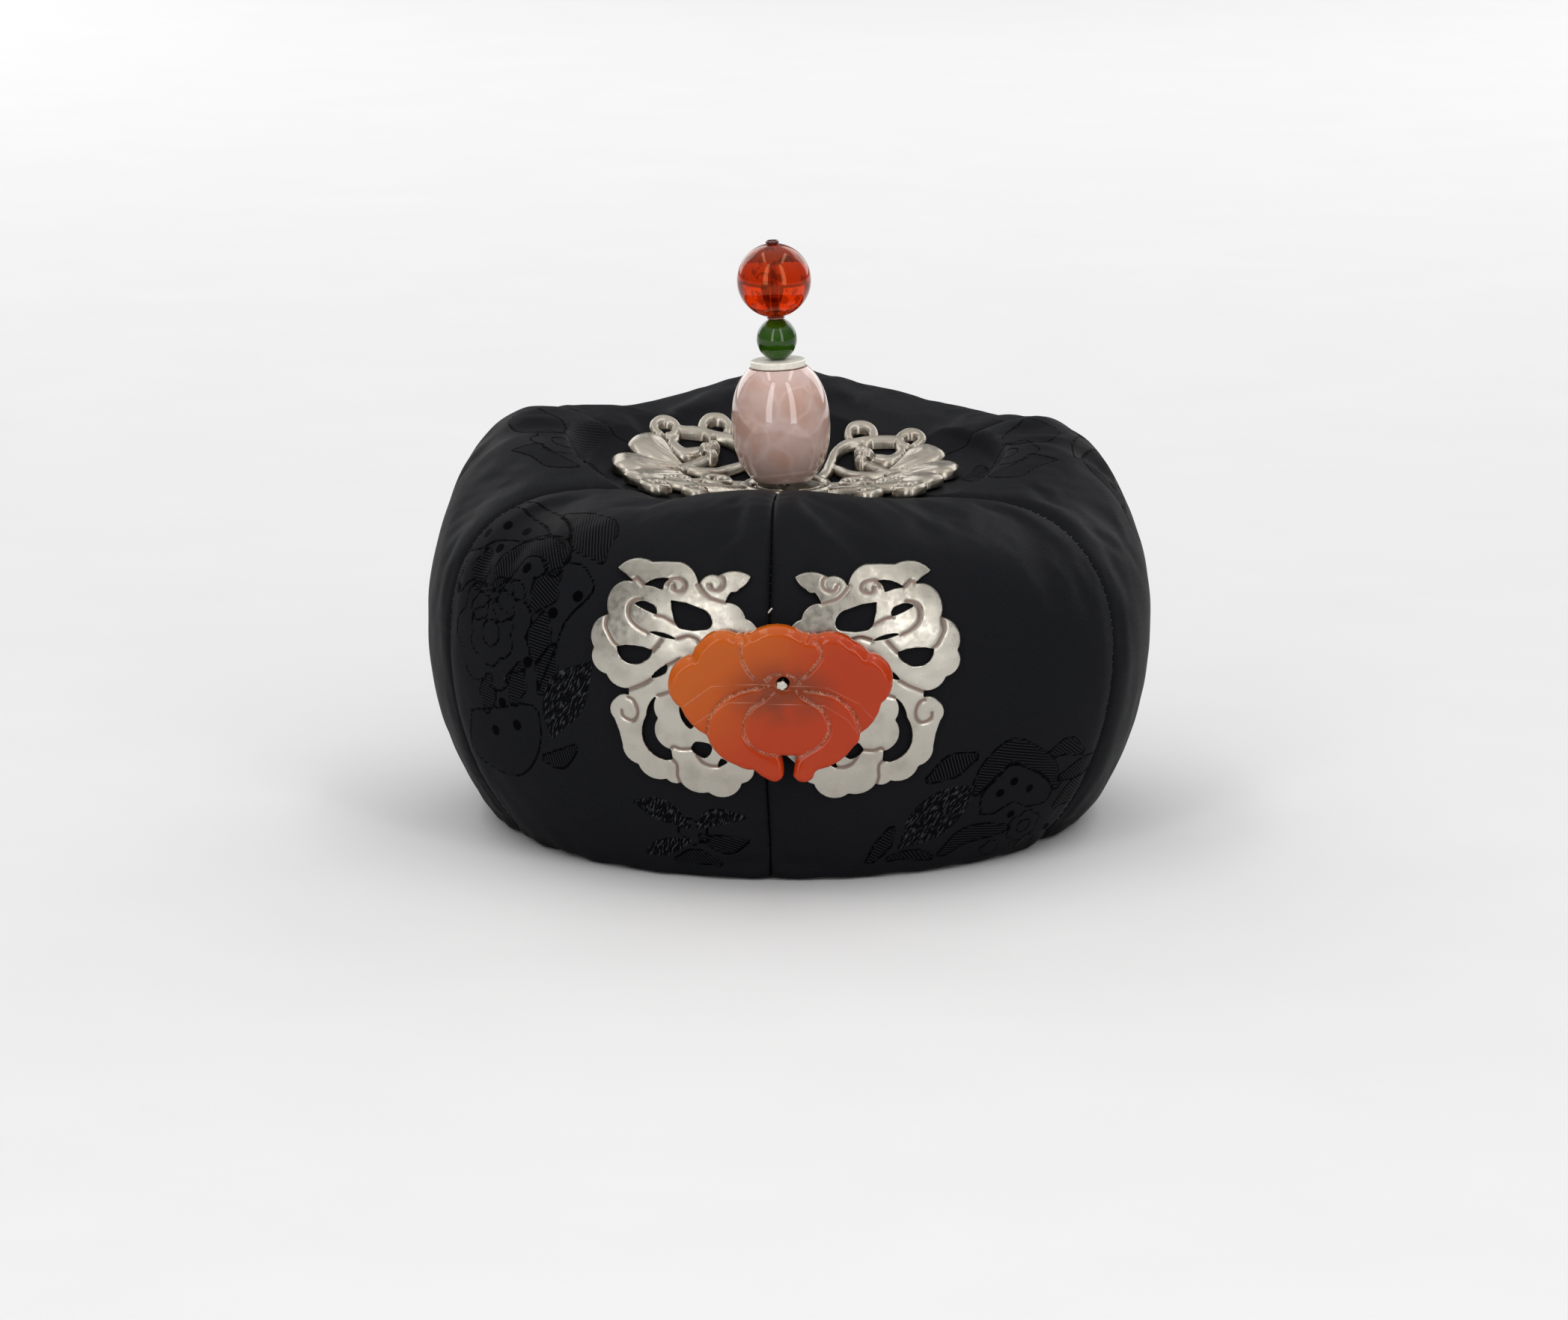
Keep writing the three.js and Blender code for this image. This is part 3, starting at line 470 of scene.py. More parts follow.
class Shader(Nodes):
    """A material under construction, with short ways to add and join its nodes."""

    def __init__(self, name: str) -> None:
        """Starts a material with one main shader.

        Args:
            name: the material's name.
        """
        self.material = bpy.data.materials.new(name)
        self.material.use_nodes = True
        super().__init__(self.material.node_tree)
        self.nodes.clear()
        self.output = self.nodes.new("ShaderNodeOutputMaterial")
        self.surface = self.nodes.new("ShaderNodeBsdfPrincipled")
        self.links.new(self.surface.outputs["BSDF"], self.output.inputs["Surface"])

    def constant(self, **sockets: float | Colour) -> None:
        """Sets main shader sockets that are the same all over, named with _ for spaces."""
        for key, number in sockets.items():
            socket = self.surface.inputs[key.replace("_", " ")]
            socket.default_value = (*number, 1.0) if socket.type == "RGBA" else number

    def feed(self, source: Socket, name: str) -> None:
        """Joins a value to a socket of the main shader."""
        self.links.new(source, self.surface.inputs[name])

    def object_place(
        self, scale: Sequence[float] = (1.0, 1.0, 1.0), centre: Colour = (0.0, 0.0, 0.0)
    ) -> Socket:
        """The place on the piece in millimetres from a centre, stretched by a scale."""
        source = self.node("ShaderNodeTexCoord", {}).outputs["Object"]
        stretch = tuple(number / MILLIMETRE for number in scale)
        shift = tuple(-middle * number for middle, number in zip(centre, scale))
        return self.node(
            "ShaderNodeMapping", {"Vector": source, "Scale": stretch, "Location": shift}
        ).outputs["Vector"]

    def along(self, place: Socket, length: float, width: float, turn: float) -> Socket:
        """A flat place stretched for streaks of a length and width that lie at an angle in degrees."""
        return self.node(
            "ShaderNodeMapping",
            {"Vector": place, "Rotation": (0.0, 0.0, math.radians(turn)), "Scale": (length, width, 1.0)},
            vector_type="TEXTURE",
        ).outputs["Vector"]

    def attribute(self, name: str) -> Socket:
        """A named number of the piece's points."""
        return self.node("ShaderNodeAttribute", {}, attribute_name=name).outputs["Fac"]

    def span(
        self,
        value: Socket,
        low: float,
        high: float,
        start: float = 0.0,
        end: float = 1.0,
    ) -> Socket:
        """Eases a value between two limits into another range."""
        return self.out(
            "ShaderNodeMapRange",
            {0: value, 1: low, 2: high, 3: start, 4: end},
            interpolation_type="SMOOTHSTEP",
        )

    def product(self, *terms: object) -> Socket:
        """Multiplies numbers or outputs."""
        total = terms[0]
        for term in terms[1:]:
            total = self.math("MULTIPLY", total, term)
        return total

    def most(self, *terms: object) -> Socket:
        """The largest of some numbers or outputs."""
        total = terms[0]
        for term in terms[1:]:
            total = self.math("MAXIMUM", total, term)
        return total

    def rest(self, share: Socket) -> Socket:
        """What a share leaves of 1."""
        return self.math("SUBTRACT", 1.0, share)

    def mix(self, share: object, first: object, second: object) -> Socket:
        """Blends two colours by a share."""
        pair = [(*c, 1.0) if isinstance(c, tuple) else c for c in (first, second)]
        return self.node(
            "ShaderNodeMix", {0: share, 6: pair[0], 7: pair[1]}, data_type="RGBA"
        ).outputs[2]

    def noise(self, place: Socket, size: float, detail: float = 2.0) -> Socket:
        """Cloudy noise between 0 and 1 whose blobs are about size across."""
        return self.node(
            "ShaderNodeTexNoise", {"Vector": place, "Scale": 1.0 / size, "Detail": detail}
        ).outputs["Fac"]

    def specks(self, place: Socket, spacing: float, radius: float) -> Socket:
        """Small round specks: 1 on a speck and 0 between them."""
        cell = self.node(
            "ShaderNodeTexVoronoi", {"Vector": place, "Scale": 1.0 / spacing, "Randomness": 1.0}
        ).outputs["Distance"]
        return self.span(cell, radius / spacing, 0.5 * radius / spacing)

    def bump(self, height: Socket, depth: float, after: Socket | None = None) -> Socket:
        """Turns a height between 0 and 1 into a shading normal, for a relief depth in millimetres."""
        sockets = {"Height": height, "Distance": depth * MILLIMETRE, "Strength": 1.0}
        if after is not None:
            sockets["Normal"] = after
        return self.node("ShaderNodeBump", sockets).outputs["Normal"]


@dataclass(frozen=True)
class SilkDamask:
    """Black silk whose ground and tone-on-tone figures differ only in the way they catch light, which is
    painted into the colour: painted highlight on the yarn, twill ribs and stripe crests, painted shade in
    stripe valleys, outlines, spots and streaked leaves, and painted sheen on the streaks.
    """

    ground: Colour = (0.0085, 0.0087, 0.0102)
    # Painted shade for the stripe valleys, outlines, spots and streaked leaves.
    shade: Colour = (0.0011, 0.0011, 0.0013)
    # Painted highlight for the yarn, the twill ribs and the stripe crests.
    lit: Colour = (0.0150, 0.0154, 0.0176)
    # Painted sheen on the streaks of the streaked leaves.
    painted_sheen: Colour = (0.042, 0.043, 0.047)
    lint: Colour = (0.42, 0.41, 0.38)
    roughness: float = 0.42
    matt_roughness: float = 0.62
    twill_pitch: float = 0.42
    stripe_pitch: float = 0.62
    outline_half: float = 0.26
    relief: float = 0.11

    def material(self) -> Material:
        """Builds the material from the cloth's own map and its figure values."""
        s = Shader("silk_damask")
        flat = s.out("ShaderNodeUVMap", {}, uv_map="cloth")
        cloth = s.node("ShaderNodeMapping", {"Vector": flat, "Scale": (100.0,) * 3}).outputs["Vector"]
        wander = s.noise(cloth, 5.0)
        yarn = s.noise(s.along(cloth, 0.9, 0.31, 90.0), 1.0)
        figure = s.span(s.attribute("figure"), 0.1, -0.1)
        woven = s.span(s.attribute("woven"), 0.1, -0.1)
        spot = s.span(s.attribute("spot"), 0.12, -0.12)
        body = s.span(s.attribute("body"), 0.4, -0.4)
        stripes = self.stripes(s, wander)
        line = self.drawn_line(s, cloth)
        # The raised streaks of the streaked leaves, which the colour also paints bright as sheen.
        streaks = s.product(woven, s.span(s.noise(s.along(cloth, 1.5, 0.34, 62.0), 1.0), 0.52, 0.62))
        valley = s.product(figure, s.rest(stripes), 0.9)
        # Painted shade: stripe valleys, outlines, spots and streaked leaves are darkened in the colour.
        dark = s.most(line, spot, valley, s.product(woven, 0.8))
        crest = s.product(figure, stripes)
        twill = self.twill(s, cloth, wander)
        # Painted highlight: yarn and twill ribs lighten the ground towards the lit colour, and so do the
        # stripe crests below.
        thread = s.math("ADD", s.product(yarn, 0.6), s.product(twill, 0.22))
        ground = s.mix(thread, self.ground, self.lit)
        shaded = s.mix(dark, s.mix(crest, ground, self.lit), self.shade)
        # Painted sheen on the streaks of the streaked leaves.
        with_painted_sheen = s.mix(streaks, shaded, self.painted_sheen)
        lint = s.product(s.specks(cloth, 5.5, 0.11), s.span(s.noise(cloth, 14.0), 0.45, 0.6), 0.8)
        s.feed(s.mix(lint, with_painted_sheen, self.lint), "Base Color")
        matt = s.most(s.product(body, 0.6), line, spot)
        s.feed(s.span(matt, 0.0, 1.0, self.roughness, self.matt_roughness), "Roughness")
        weave = s.math("ADD", s.product(twill, 0.16), s.product(yarn, 0.4))
        plain = s.product(weave, s.rest(s.most(figure, spot, woven)))
        raised = s.math("ADD", plain, s.math("ADD", s.product(crest, 1.1), s.product(streaks, 1.2)))
        sunk = s.math("SUBTRACT", raised, s.math("ADD", s.product(line, 1.3), s.product(spot, 1.6)))
        s.feed(s.bump(sunk, self.relief), "Normal")
        s.constant(Specular_IOR_Level=0.012)
        return s.material

    def stripes(self, s: Shader, wander: Socket) -> Socket:
        """The fine ribs inside a striped leaf, 1 on a rib and 0 between two."""
        place = s.math("ADD", s.attribute("stripe"), s.product(wander, 0.35))
        return s.span(s.math("SINE", s.product(place, 2.0 * math.pi / self.stripe_pitch)), -0.5, 0.5)

    def drawn_line(self, s: Shader, cloth: Socket) -> Socket:
        """The broken outline of the figures, which the colour darkens as painted shade."""
        dashes = s.span(s.noise(cloth, 0.9), 0.34, 0.44)
        drawn = s.span(s.attribute("outline"), self.outline_half + 0.1, self.outline_half - 0.08)
        return s.product(drawn, dashes)

    def twill(self, s: Shader, cloth: Socket, wander: Socket) -> Socket:
        """The fine diagonal ribs of the plain ground, between -1 and 1."""
        axes = s.node("ShaderNodeSeparateXYZ", {0: cloth}).outputs
        diagonal = s.math("ADD", s.product(axes[0], 0.5), axes[1])
        thread = s.math("ADD", diagonal, s.product(wander, 0.25))
        return s.math("SINE", s.product(thread, 2.0 * math.pi / self.twill_pitch))


@dataclass(frozen=True)
class Silver:
    """Silver with bright worn faces and brown cut lines and recesses, and where heights are given, painted
    shade towards the top that stands for a dim reflection of the surroundings above.
    """

    name: str
    bright: Colour
    dull: Colour
    recess: Colour
    roughness: float
    spread: float
    grain: float
    brushing: float = 0.012
    # Painted shade: a darker colour laid on in patches above a height, standing for the dim reflection of
    # the surroundings above.
    painted_upper_shade: Colour = (0.33, 0.308, 0.265)
    painted_shade_heights: tuple[float, float] | None = None
    patch_depth: float = 6.0

    def material(self) -> Material:
        # The upper wings of the sheet get painted shade for their dim reflection of the surroundings above.
        """Builds the material from the piece's recess value and its place."""
        s = Shader(self.name)
        place = s.object_place()
        recess = s.span(s.attribute("recess"), 0.15, 0.85)
        stain = s.span(s.noise(place, 5.0, 3.0), 0.42, 0.72)
        pits = s.product(s.specks(place, 2.6, 0.11), s.span(s.noise(place, 6.0), 0.5, 0.65))
        clean = s.mix(s.product(stain, 0.8), self.bright, self.dull)
        # Painted shade towards the top of the plate, for its dim reflection of the surroundings above.
        if self.painted_shade_heights:
            clean = s.mix(self.painted_shade_share(s, place), clean, self.painted_upper_shade)
        marked = s.mix(s.product(pits, 0.8), clean, self.recess)
        s.feed(s.mix(recess, marked, self.recess), "Base Color")
        smoothest, roughest = self.roughness - self.spread, self.roughness + self.spread
        worn = s.span(s.noise(place, 1.3, 3.0), 0.3, 0.7, smoothest, roughest)
        s.feed(s.most(worn, s.product(recess, 0.6)), "Roughness")
        brushed = s.noise(s.object_place((1.0, 1.0, 0.25)), 0.22, 3.0)
        hammered = s.bump(s.noise(place, 1.7), self.grain)
        s.feed(s.bump(brushed, self.brushing, hammered), "Normal")
        s.constant(Metallic=1.0)
        return s.material

    def painted_shade_share(self, s: Shader, place: Socket) -> Socket:
        """How far the painted shade of the upper plate reaches at a place; it grows in patches between two
        heights.
        """
        height = s.node("ShaderNodeSeparateXYZ", {0: place}).outputs[2]
        patchy = s.math("ADD", height, s.product(s.noise(place, 7.0), self.patch_depth))
        low, high = (level + self.patch_depth / 2 for level in self.painted_shade_heights)
        return s.span(patchy, low, high)


@dataclass(frozen=True)
class CloudyStone:
    """A polished translucent stone with clouds, bands or veins."""

    name: str
    light: Colour
    deep: Colour
    cloud_size: Colour
    vein: Colour
    vein_share: float
    roughness: float
    scatter: float
    scatter_radius: Colour
    gloss: float = 0.5
    coat: float = 0.1

    def material(self) -> Material:
        """Builds the material from the place on the piece."""
        s = Shader(self.name)
        place = s.object_place(tuple(1.0 / size for size in self.cloud_size))
        cloud = s.span(s.noise(place, 1.0, 3.0), 0.32, 0.68)
        swirl = s.node("ShaderNodeTexNoise", {"Vector": place, "Scale": 0.8}).outputs["Color"]
        twisted = s.out("ShaderNodeVectorMath", {0: place, 1: swirl}, operation="ADD")
        cell = s.node(
            "ShaderNodeTexVoronoi", {"Vector": twisted, "Scale": 0.9}, feature="DISTANCE_TO_EDGE"
        ).outputs["Distance"]
        vein = s.math("MULTIPLY", s.span(cell, 0.12, 0.0), self.vein_share)
        body = s.mix(cloud, self.light, self.deep)
        s.feed(s.mix(vein, body, self.vein), "Base Color")
        s.constant(
            Roughness=self.roughness,
            Subsurface_Weight=self.scatter,
            Subsurface_Radius=self.scatter_radius,
            Subsurface_Scale=MILLIMETRE,
            Specular_IOR_Level=self.gloss,
            Coat_Weight=self.coat,
            Coat_Roughness=0.03,
        )
        return s.material


@dataclass(frozen=True)
class Carnelian:
    """Orange carnelian, redder to the right and the foot, with frosted carved lines."""

    orange: Colour = (0.475, 0.098, 0.005)
    red: Colour = (0.400, 0.034, 0.002)
    brown: Colour = (0.180, 0.034, 0.008)
    frost: Colour = (0.66, 0.40, 0.28)
    middle: Colour = (1.3, -76.0, 41.5)

    def material(self) -> Material:
        """Builds the material from the place on the stone and its carved lines."""
        s = Shader("carnelian")
        place = s.object_place()
        axes = s.node("ShaderNodeSeparateXYZ", {0: place}).outputs
        lean = s.math("SUBTRACT", s.product(axes[2], 0.9), axes[0])
        warm = s.math("ADD", lean, s.product(s.noise(place, 11.0), 12.0))
        body = s.mix(s.span(warm, 34.0, 66.0), self.red, self.orange)
        around = s.object_place((1.0 / 14.0, 0.0, 1.0 / 8.5), self.middle)
        away = s.node("ShaderNodeVectorMath", {0: around}, operation="LENGTH").outputs["Value"]
        cloud = s.product(s.span(away, 1.0, 0.2), s.span(s.noise(place, 5.0), 0.15, 0.55))
        clouded = s.mix(s.product(cloud, 0.85), body, self.brown)
        cracks = s.span(s.attribute("crack"), 0.16, 0.02)
        grain = s.span(s.noise(place, 0.22, 3.0), 0.44, 0.60)
        frosted = s.product(s.span(s.attribute("carved"), 0.2, 0.8), grain)
        marked = s.mix(s.math("MULTIPLY", cracks, 0.35), clouded, self.frost)
        worn = s.span(s.noise(place, 1.5), 0.32, 0.62, 0.2, 0.75)
        s.feed(s.mix(s.product(frosted, worn), marked, self.frost), "Base Color")
        s.feed(s.span(frosted, 0.0, 1.0, 0.17, 0.5), "Roughness")
        s.feed(s.bump(s.noise(place, 2.4), 0.05, s.bump(frosted, 0.05)), "Normal")
        s.constant(
            Subsurface_Weight=0.6,
            Subsurface_Radius=(2.4, 0.6, 0.2),
            Subsurface_Scale=MILLIMETRE,
            Specular_IOR_Level=0.12,
            Coat_Weight=0.35,
            Coat_Roughness=0.03,
        )
        return s.material


@dataclass(frozen=True)
class Amber:
    """Clear red-brown amber with dark flakes."""

    clear: Colour = (0.56, 0.028, 0.0015)
    flake: Colour = (0.16, 0.006, 0.001)
    glint: Colour = (1.0, 0.42, 0.20)

    def material(self) -> Material:
        """Builds the see-through material."""
        s = Shader("amber")
        place = s.object_place()
        flakes = s.span(s.noise(place, 2.2, 4.0), 0.52, 0.58)
        s.feed(s.mix(s.math("MULTIPLY", flakes, 0.85), self.clear, self.flake), "Base Color")
        s.constant(Roughness=0.02, IOR=1.6, Transmission_Weight=0.72, Specular_Tint=self.glint)
        return s.material


@dataclass(frozen=True)
class Polished:
    """A plain glossy bead material with a faint mottle."""

    name: str
    colour: Colour
    mottle: Colour
    roughness: float

    def material(self) -> Material:
        """Builds the material from the place on the bead."""
        s = Shader(self.name)
        place = s.object_place()
        s.feed(s.mix(s.span(s.noise(place, 1.4, 3.0), 0.35, 0.65), self.colour, self.mottle), "Base Color")
        s.feed(s.bump(s.noise(place, 0.8), 0.03), "Normal")
        s.constant(Roughness=self.roughness, Coat_Weight=0.4, Coat_Roughness=0.1)
        return s.material


@dataclass(frozen=True)
class Thread:
    """Twisted sewing thread with fine fibres."""

    name: str
    colour: Colour
    shade: Colour

    def material(self) -> Material:
        """Builds the material from fine streaks."""
        s = Shader(self.name)
        fibres = s.noise(s.object_place((1.0, 1.0, 0.4)), 0.12, 3.0)
        s.feed(s.mix(s.span(fibres, 0.3, 0.7), self.shade, self.colour), "Base Color")
        s.feed(s.bump(fibres, 0.04), "Normal")
        s.constant(Roughness=0.75, Sheen_Weight=0.3)
        return s.material


# Geometry Nodes


class NodeTree(Nodes):
    """A Geometry Nodes tree under construction, with named number inputs."""

    def __init__(self, name: str) -> None:
        """Starts a tree with one geometry input and one geometry output.

        Args:
            name: the tree's name.
        """
        self.tree = bpy.data.node_groups.new(name, "GeometryNodeTree")
        super().__init__(self.tree)
        face = self.tree.interface
        face.new_socket("Geometry", in_out="INPUT", socket_type="NodeSocketGeometry")
        face.new_socket("Geometry", in_out="OUTPUT", socket_type="NodeSocketGeometry")
        self.given = self.nodes.new("NodeGroupInput")
        self.result = self.nodes.new("NodeGroupOutput")
        self.names: dict[str, str] = {}

    def number(self, name: str, whole: bool = False) -> Socket:
        """Adds a named number input and returns its socket inside the tree."""
        kind = "NodeSocketInt" if whole else "NodeSocketFloat"
        socket = self.tree.interface.new_socket(name, in_out="INPUT", socket_type=kind)
        self.names[name] = socket.identifier
        return self.given.outputs[name]

    def vector(self, operation: str, *terms: object) -> Socket:
        """One step of arithmetic on vectors."""
        keys = (0, "Scale") if operation == "SCALE" else range(len(terms))
        return self.out("ShaderNodeVectorMath", dict(zip(keys, terms)), operation=operation)

    def base_line(self, step: Socket) -> Socket:
        """The line that the tree is given, cut into even steps."""
        curve = self.out("GeometryNodeMeshToCurve", {0: self.given.outputs["Geometry"]})
        return self.out("GeometryNodeResampleCurve", {"Curve": curve, "Length": step}, mode="LENGTH")

    def tube(self, curve: Socket, radius: Socket, sides: int) -> Socket:
        """Gives a curve a round section and closed ends."""
        section = self.out("GeometryNodeCurvePrimitiveCircle", {"Resolution": sides, "Radius": radius})
        sockets = {"Curve": curve, "Profile Curve": section, "Fill Caps": True}
        return self.out("GeometryNodeCurveToMesh", sockets)

    def end(self, geometry: Socket, material: Material) -> None:
        """Ends the tree: copies become real meshes, and everything gets the material."""
        real = self.out("GeometryNodeRealizeInstances", {0: geometry})
        painted = self.out("GeometryNodeSetMaterial", {"Geometry": real, "Material": material})
        self.links.new(painted, self.result.inputs[0])

    def grow(self, name: str, base: Mesh, sizes: dict[str, float | int]) -> Piece:
        """Runs the tree on a base mesh and keeps what it makes as a plain mesh.

        Args:
            name: the new piece's name.
            base: the mesh that the tree starts from.
            sizes: a number for each named input.

        Returns:
            The new object at the origin, with no modifier left.
        """
        carrier = new_piece(name, base)
        modifier = carrier.modifiers.new("grow", "NODES")
        modifier.node_group = self.tree
        for key, number in sizes.items():
            modifier[self.names[key]] = number
        bpy.context.view_layer.update()
        graph = bpy.context.evaluated_depsgraph_get()
        mesh = bpy.data.meshes.new_from_object(carrier.evaluated_get(graph))
        bpy.data.objects.remove(carrier)
        mesh.name = name
        return new_piece(name, mesh)


def line_mesh(name: str, lines: Sequence[Array]) -> Mesh:
    """A mesh of bare polylines from lists of places in metres.

    Args:
        name: the mesh's name.
        lines: rows of places in metres, one for each line.

    Returns:
        The mesh, which has points and edges only.
    """
    mesh = bpy.data.meshes.new(name)
    places: list[list[float]] = []
    edges: list[tuple[int, int]] = []
    for line in lines:
        start = len(places)
        places += line.tolist()
        edges += [(start + i, start + i + 1) for i in range(len(line) - 1)]
    mesh.from_pydata(places, edges, [])
    return mesh


# The padded cap


class Meridian(NamedTuple):
    """Radii and heights of the cap's outer surface at one azimuth."""

    azimuth: float
    hem: float
    belly: float
    crest: float
    crest_height: float
    fullness: float
    dish: float


MERIDIANS = (
    Meridian(-180, hem=61.0, belly=71.0, crest=52, crest_height=84.8, fullness=2.4, dish=1.0),
    Meridian(-150, hem=60.5, belly=72.0, crest=51, crest_height=79.3, fullness=2.5, dish=0.6),
    Meridian(-120, hem=60.0, belly=74.4, crest=57, crest_height=80.0, fullness=2.3, dish=1.5),
    Meridian(-90, hem=60.5, belly=73.2, crest=54, crest_height=78.0, fullness=2.15, dish=1.8),
    Meridian(-60, hem=59.5, belly=75.4, crest=47, crest_height=71.4, fullness=2.45, dish=1.0),
    Meridian(-30, hem=61.0, belly=72.5, crest=45, crest_height=72.4, fullness=2.5, dish=1.4),
    Meridian(0, hem=61.5, belly=71.0, crest=46, crest_height=75.0, fullness=2.5, dish=1.0),
    Meridian(30, hem=61.0, belly=72.5, crest=45, crest_height=72.2, fullness=2.5, dish=1.4),
    Meridian(60, hem=59.5, belly=75.4, crest=47, crest_height=70.0, fullness=2.2, dish=1.0),
    Meridian(90, hem=60.5, belly=73.8, crest=53.4, crest_height=74.8, fullness=2.05, dish=1.8),
    Meridian(120, hem=60.0, belly=74.4, crest=57, crest_height=78.4, fullness=2.15, dish=1.5),
    Meridian(150, hem=60.5, belly=72.0, crest=50, crest_height=79.2, fullness=2.5, dish=0.6),
    Meridian(180, hem=61.0, belly=71.0, crest=52, crest_height=84.8, fullness=2.4, dish=1.0),
)


@dataclass(frozen=True)
class CapSurface:
    """The smooth outer and inner surfaces of the cap, before seams and folds."""

    gore_span: float = 60.0
    belly_height: float = 42.0
    dimple_height: float = 66.4
    eyelet_radius: float = 2.0
    lower_wall_power: float = 2.2
    hem_thickness: float = 5.5
    wall_thickness: float = 9.0
    top_thickness: float = 7.5
    inner_crest_setback: float = 4.0
    gores: int = 6
    front_belly: float = 71.0
    radius_passes: int = 4
    seam_wander: tuple[float, ...] = (3.4, 1.0, -3.6, -1.4, 2.2, 1.0, 3.4)

    def sewn_azimuth(self, azimuth: float) -> float:
        """Where an evenly divided azimuth comes to lie on the cap as it is sewn, in degrees."""
        turns = (azimuth + 180) / self.gore_span
        gore = min(self.gores - 1, int(turns))
        before, after = self.seam_wander[gore:gore + 2]
        return azimuth + before + (after - before) * float(smooth(np.array(turns - gore)))

    def meridian(self, azimuth: float) -> Meridian:
        """The outer surface's values at any azimuth in degrees, eased between the table's rows.

        Args:
            azimuth: degrees round the cap, 0 at its front.

        Returns:
            The values there.
        """
        gore = min(self.gores - 1, int((azimuth + 180) // self.gore_span))
        seam, middle, next_seam = (np.array(row) for row in MERIDIANS[2 * gore:2 * gore + 3])
        across = (azimuth - middle[0]) / (self.gore_span / 2)
        share = float(smooth(np.array((across + 1) / 2)))
        swell = middle - (seam + next_seam) / 2
        row = seam + (next_seam - seam) * share + swell * (1 - across * across)
        return Meridian(*row)

    def profile(self, row: Meridian, travel: Array, inner: bool = False) -> tuple[Array, Array]:
        """Radius and height along a meridian.

        Args:
            row: the meridian's values.
            travel: 0 to 1 up the wall, 1 to 2 over the shoulder, 2 to 3 down to the eyelet.
            inner: whether the inside of the cap is meant.

        Returns:
            The radii and the heights.
        """
        hem, belly, crest, top = row.hem, row.belly, row.crest, row.crest_height
        dimple = self.dimple_height
        if inner:
            hem -= self.hem_thickness
            belly -= self.wall_thickness
            crest -= self.inner_crest_setback
            top -= self.top_thickness
            dimple -= self.top_thickness
        wall = np.clip(travel, 0, 1)
        turn = np.clip(travel - 1, 0, 1) * math.pi / 2
        inward = np.clip(travel - 2, 0, 1)
        power = 2 / row.fullness
        side = belly - (belly - hem) * (1 - wall) ** self.lower_wall_power
        shoulder = crest + (belly - crest) * np.clip(np.cos(turn), 0, 1) ** power
        rise = self.belly_height + (top - self.belly_height) * np.sin(turn) ** power
        dish = crest + (self.eyelet_radius - crest) * inward
        hollow = dimple + (top - dimple) * smooth(dish / crest) ** row.dish
        radius = np.where(travel <= 1, side, np.where(travel <= 2, shoulder, dish))
        height = np.where(travel <= 1, self.belly_height * wall, np.where(travel <= 2, rise, hollow))
        return radius, height

    def wall_radius(self, azimuth: float, height: float) -> float:
        """Outer radius of the wall and shoulder at an azimuth and a height.

        Args:
            azimuth: degrees round the cap, 0 at its front.
            height: millimetres above the hem.

        Returns:
            The radius in millimetres.
        """
        row = self.meridian(azimuth)
        if height <= self.belly_height:
            fall = (1 - height / self.belly_height) ** self.lower_wall_power
            return row.belly - (row.belly - row.hem) * fall
        rise = ((height - self.belly_height) / (row.crest_height - self.belly_height)) ** (row.fullness / 2)
        inward = math.sqrt(max(0.0, 1 - rise * rise)) ** (2 / row.fullness)
        return row.crest + (row.belly - row.crest) * inward

    def front_radius(self, x: float, z: float) -> float:
        """Outer radius behind a place of the front plate."""
        radius = self.front_belly
        for _ in range(self.radius_passes):
            radius = self.wall_radius(math.degrees(math.asin(x / radius)), z)
        return radius


CAP = CapSurface()


@dataclass(frozen=True)
class PlateSeat:
    """The dished surface that the top plate lies on, a little lower at its right back."""

    centre_height: float = 66.8
    side_curve: float = 0.0026
    back_curve: float = 0.0121
    front_curve: float = 0.002
    right_back_sag: float = 0.0034
    clearance: float = 0.55
    release: float = 60.0
    half_width: float = 42.0
    half_depth: float = 33.0
    middle: float = 5.0

    def underside(self, x: Array, y: Array) -> Array:
        """Height of the plate's underside over plan places."""
        depth_curve = np.where(y > 0, self.back_curve, self.front_curve)
        sag = self.right_back_sag * np.clip(x, 0, 34) * np.clip(y, 0, 28)
        return self.centre_height + self.side_curve * x * x + depth_curve * y * y - sag

    def pressed(self, x: Array, y: Array) -> Array:
        """Height up to which the padding may rise over plan places."""
        outside = np.hypot(x / self.half_width, (y - self.middle) / self.half_depth) - 1
        return self.underside(x, y) - self.clearance + self.release * np.maximum(0, outside)


SEAT = PlateSeat()


# Figures of the damask, in cloth millimetres: across from a gore's middle line, and up from its hem


@dataclass(frozen=True)
class Leaf:
    """A leaf: rows of place and half width, its stripes' angle in degrees, and whether it carries short
    raised streaks, painted bright as sheen, in place of stripes."""

    rows: tuple[tuple[float, float, float], ...]
    stripe: float
    streaked: bool = False


@dataclass(frozen=True)
class Rosette:
    """A scalloped flower outline."""

    across: float
    up: float
    radius: float
    petals: int
    scallop: float


@dataclass(frozen=True)
class Figure:
    """A group of leaves, flowers, outlines and spots."""

    leaves: tuple[Leaf, ...] = ()
    rosettes: tuple[Rosette, ...] = ()
    bodies: tuple[tuple[Point, ...], ...] = ()
    lines: tuple[tuple[Point, ...], ...] = ()
    spots: tuple[Point, ...] = ()
    spot_radius: float = 1.15


# How far outside a striped leaf its outline runs
LEAF_MARGIN = 0.35

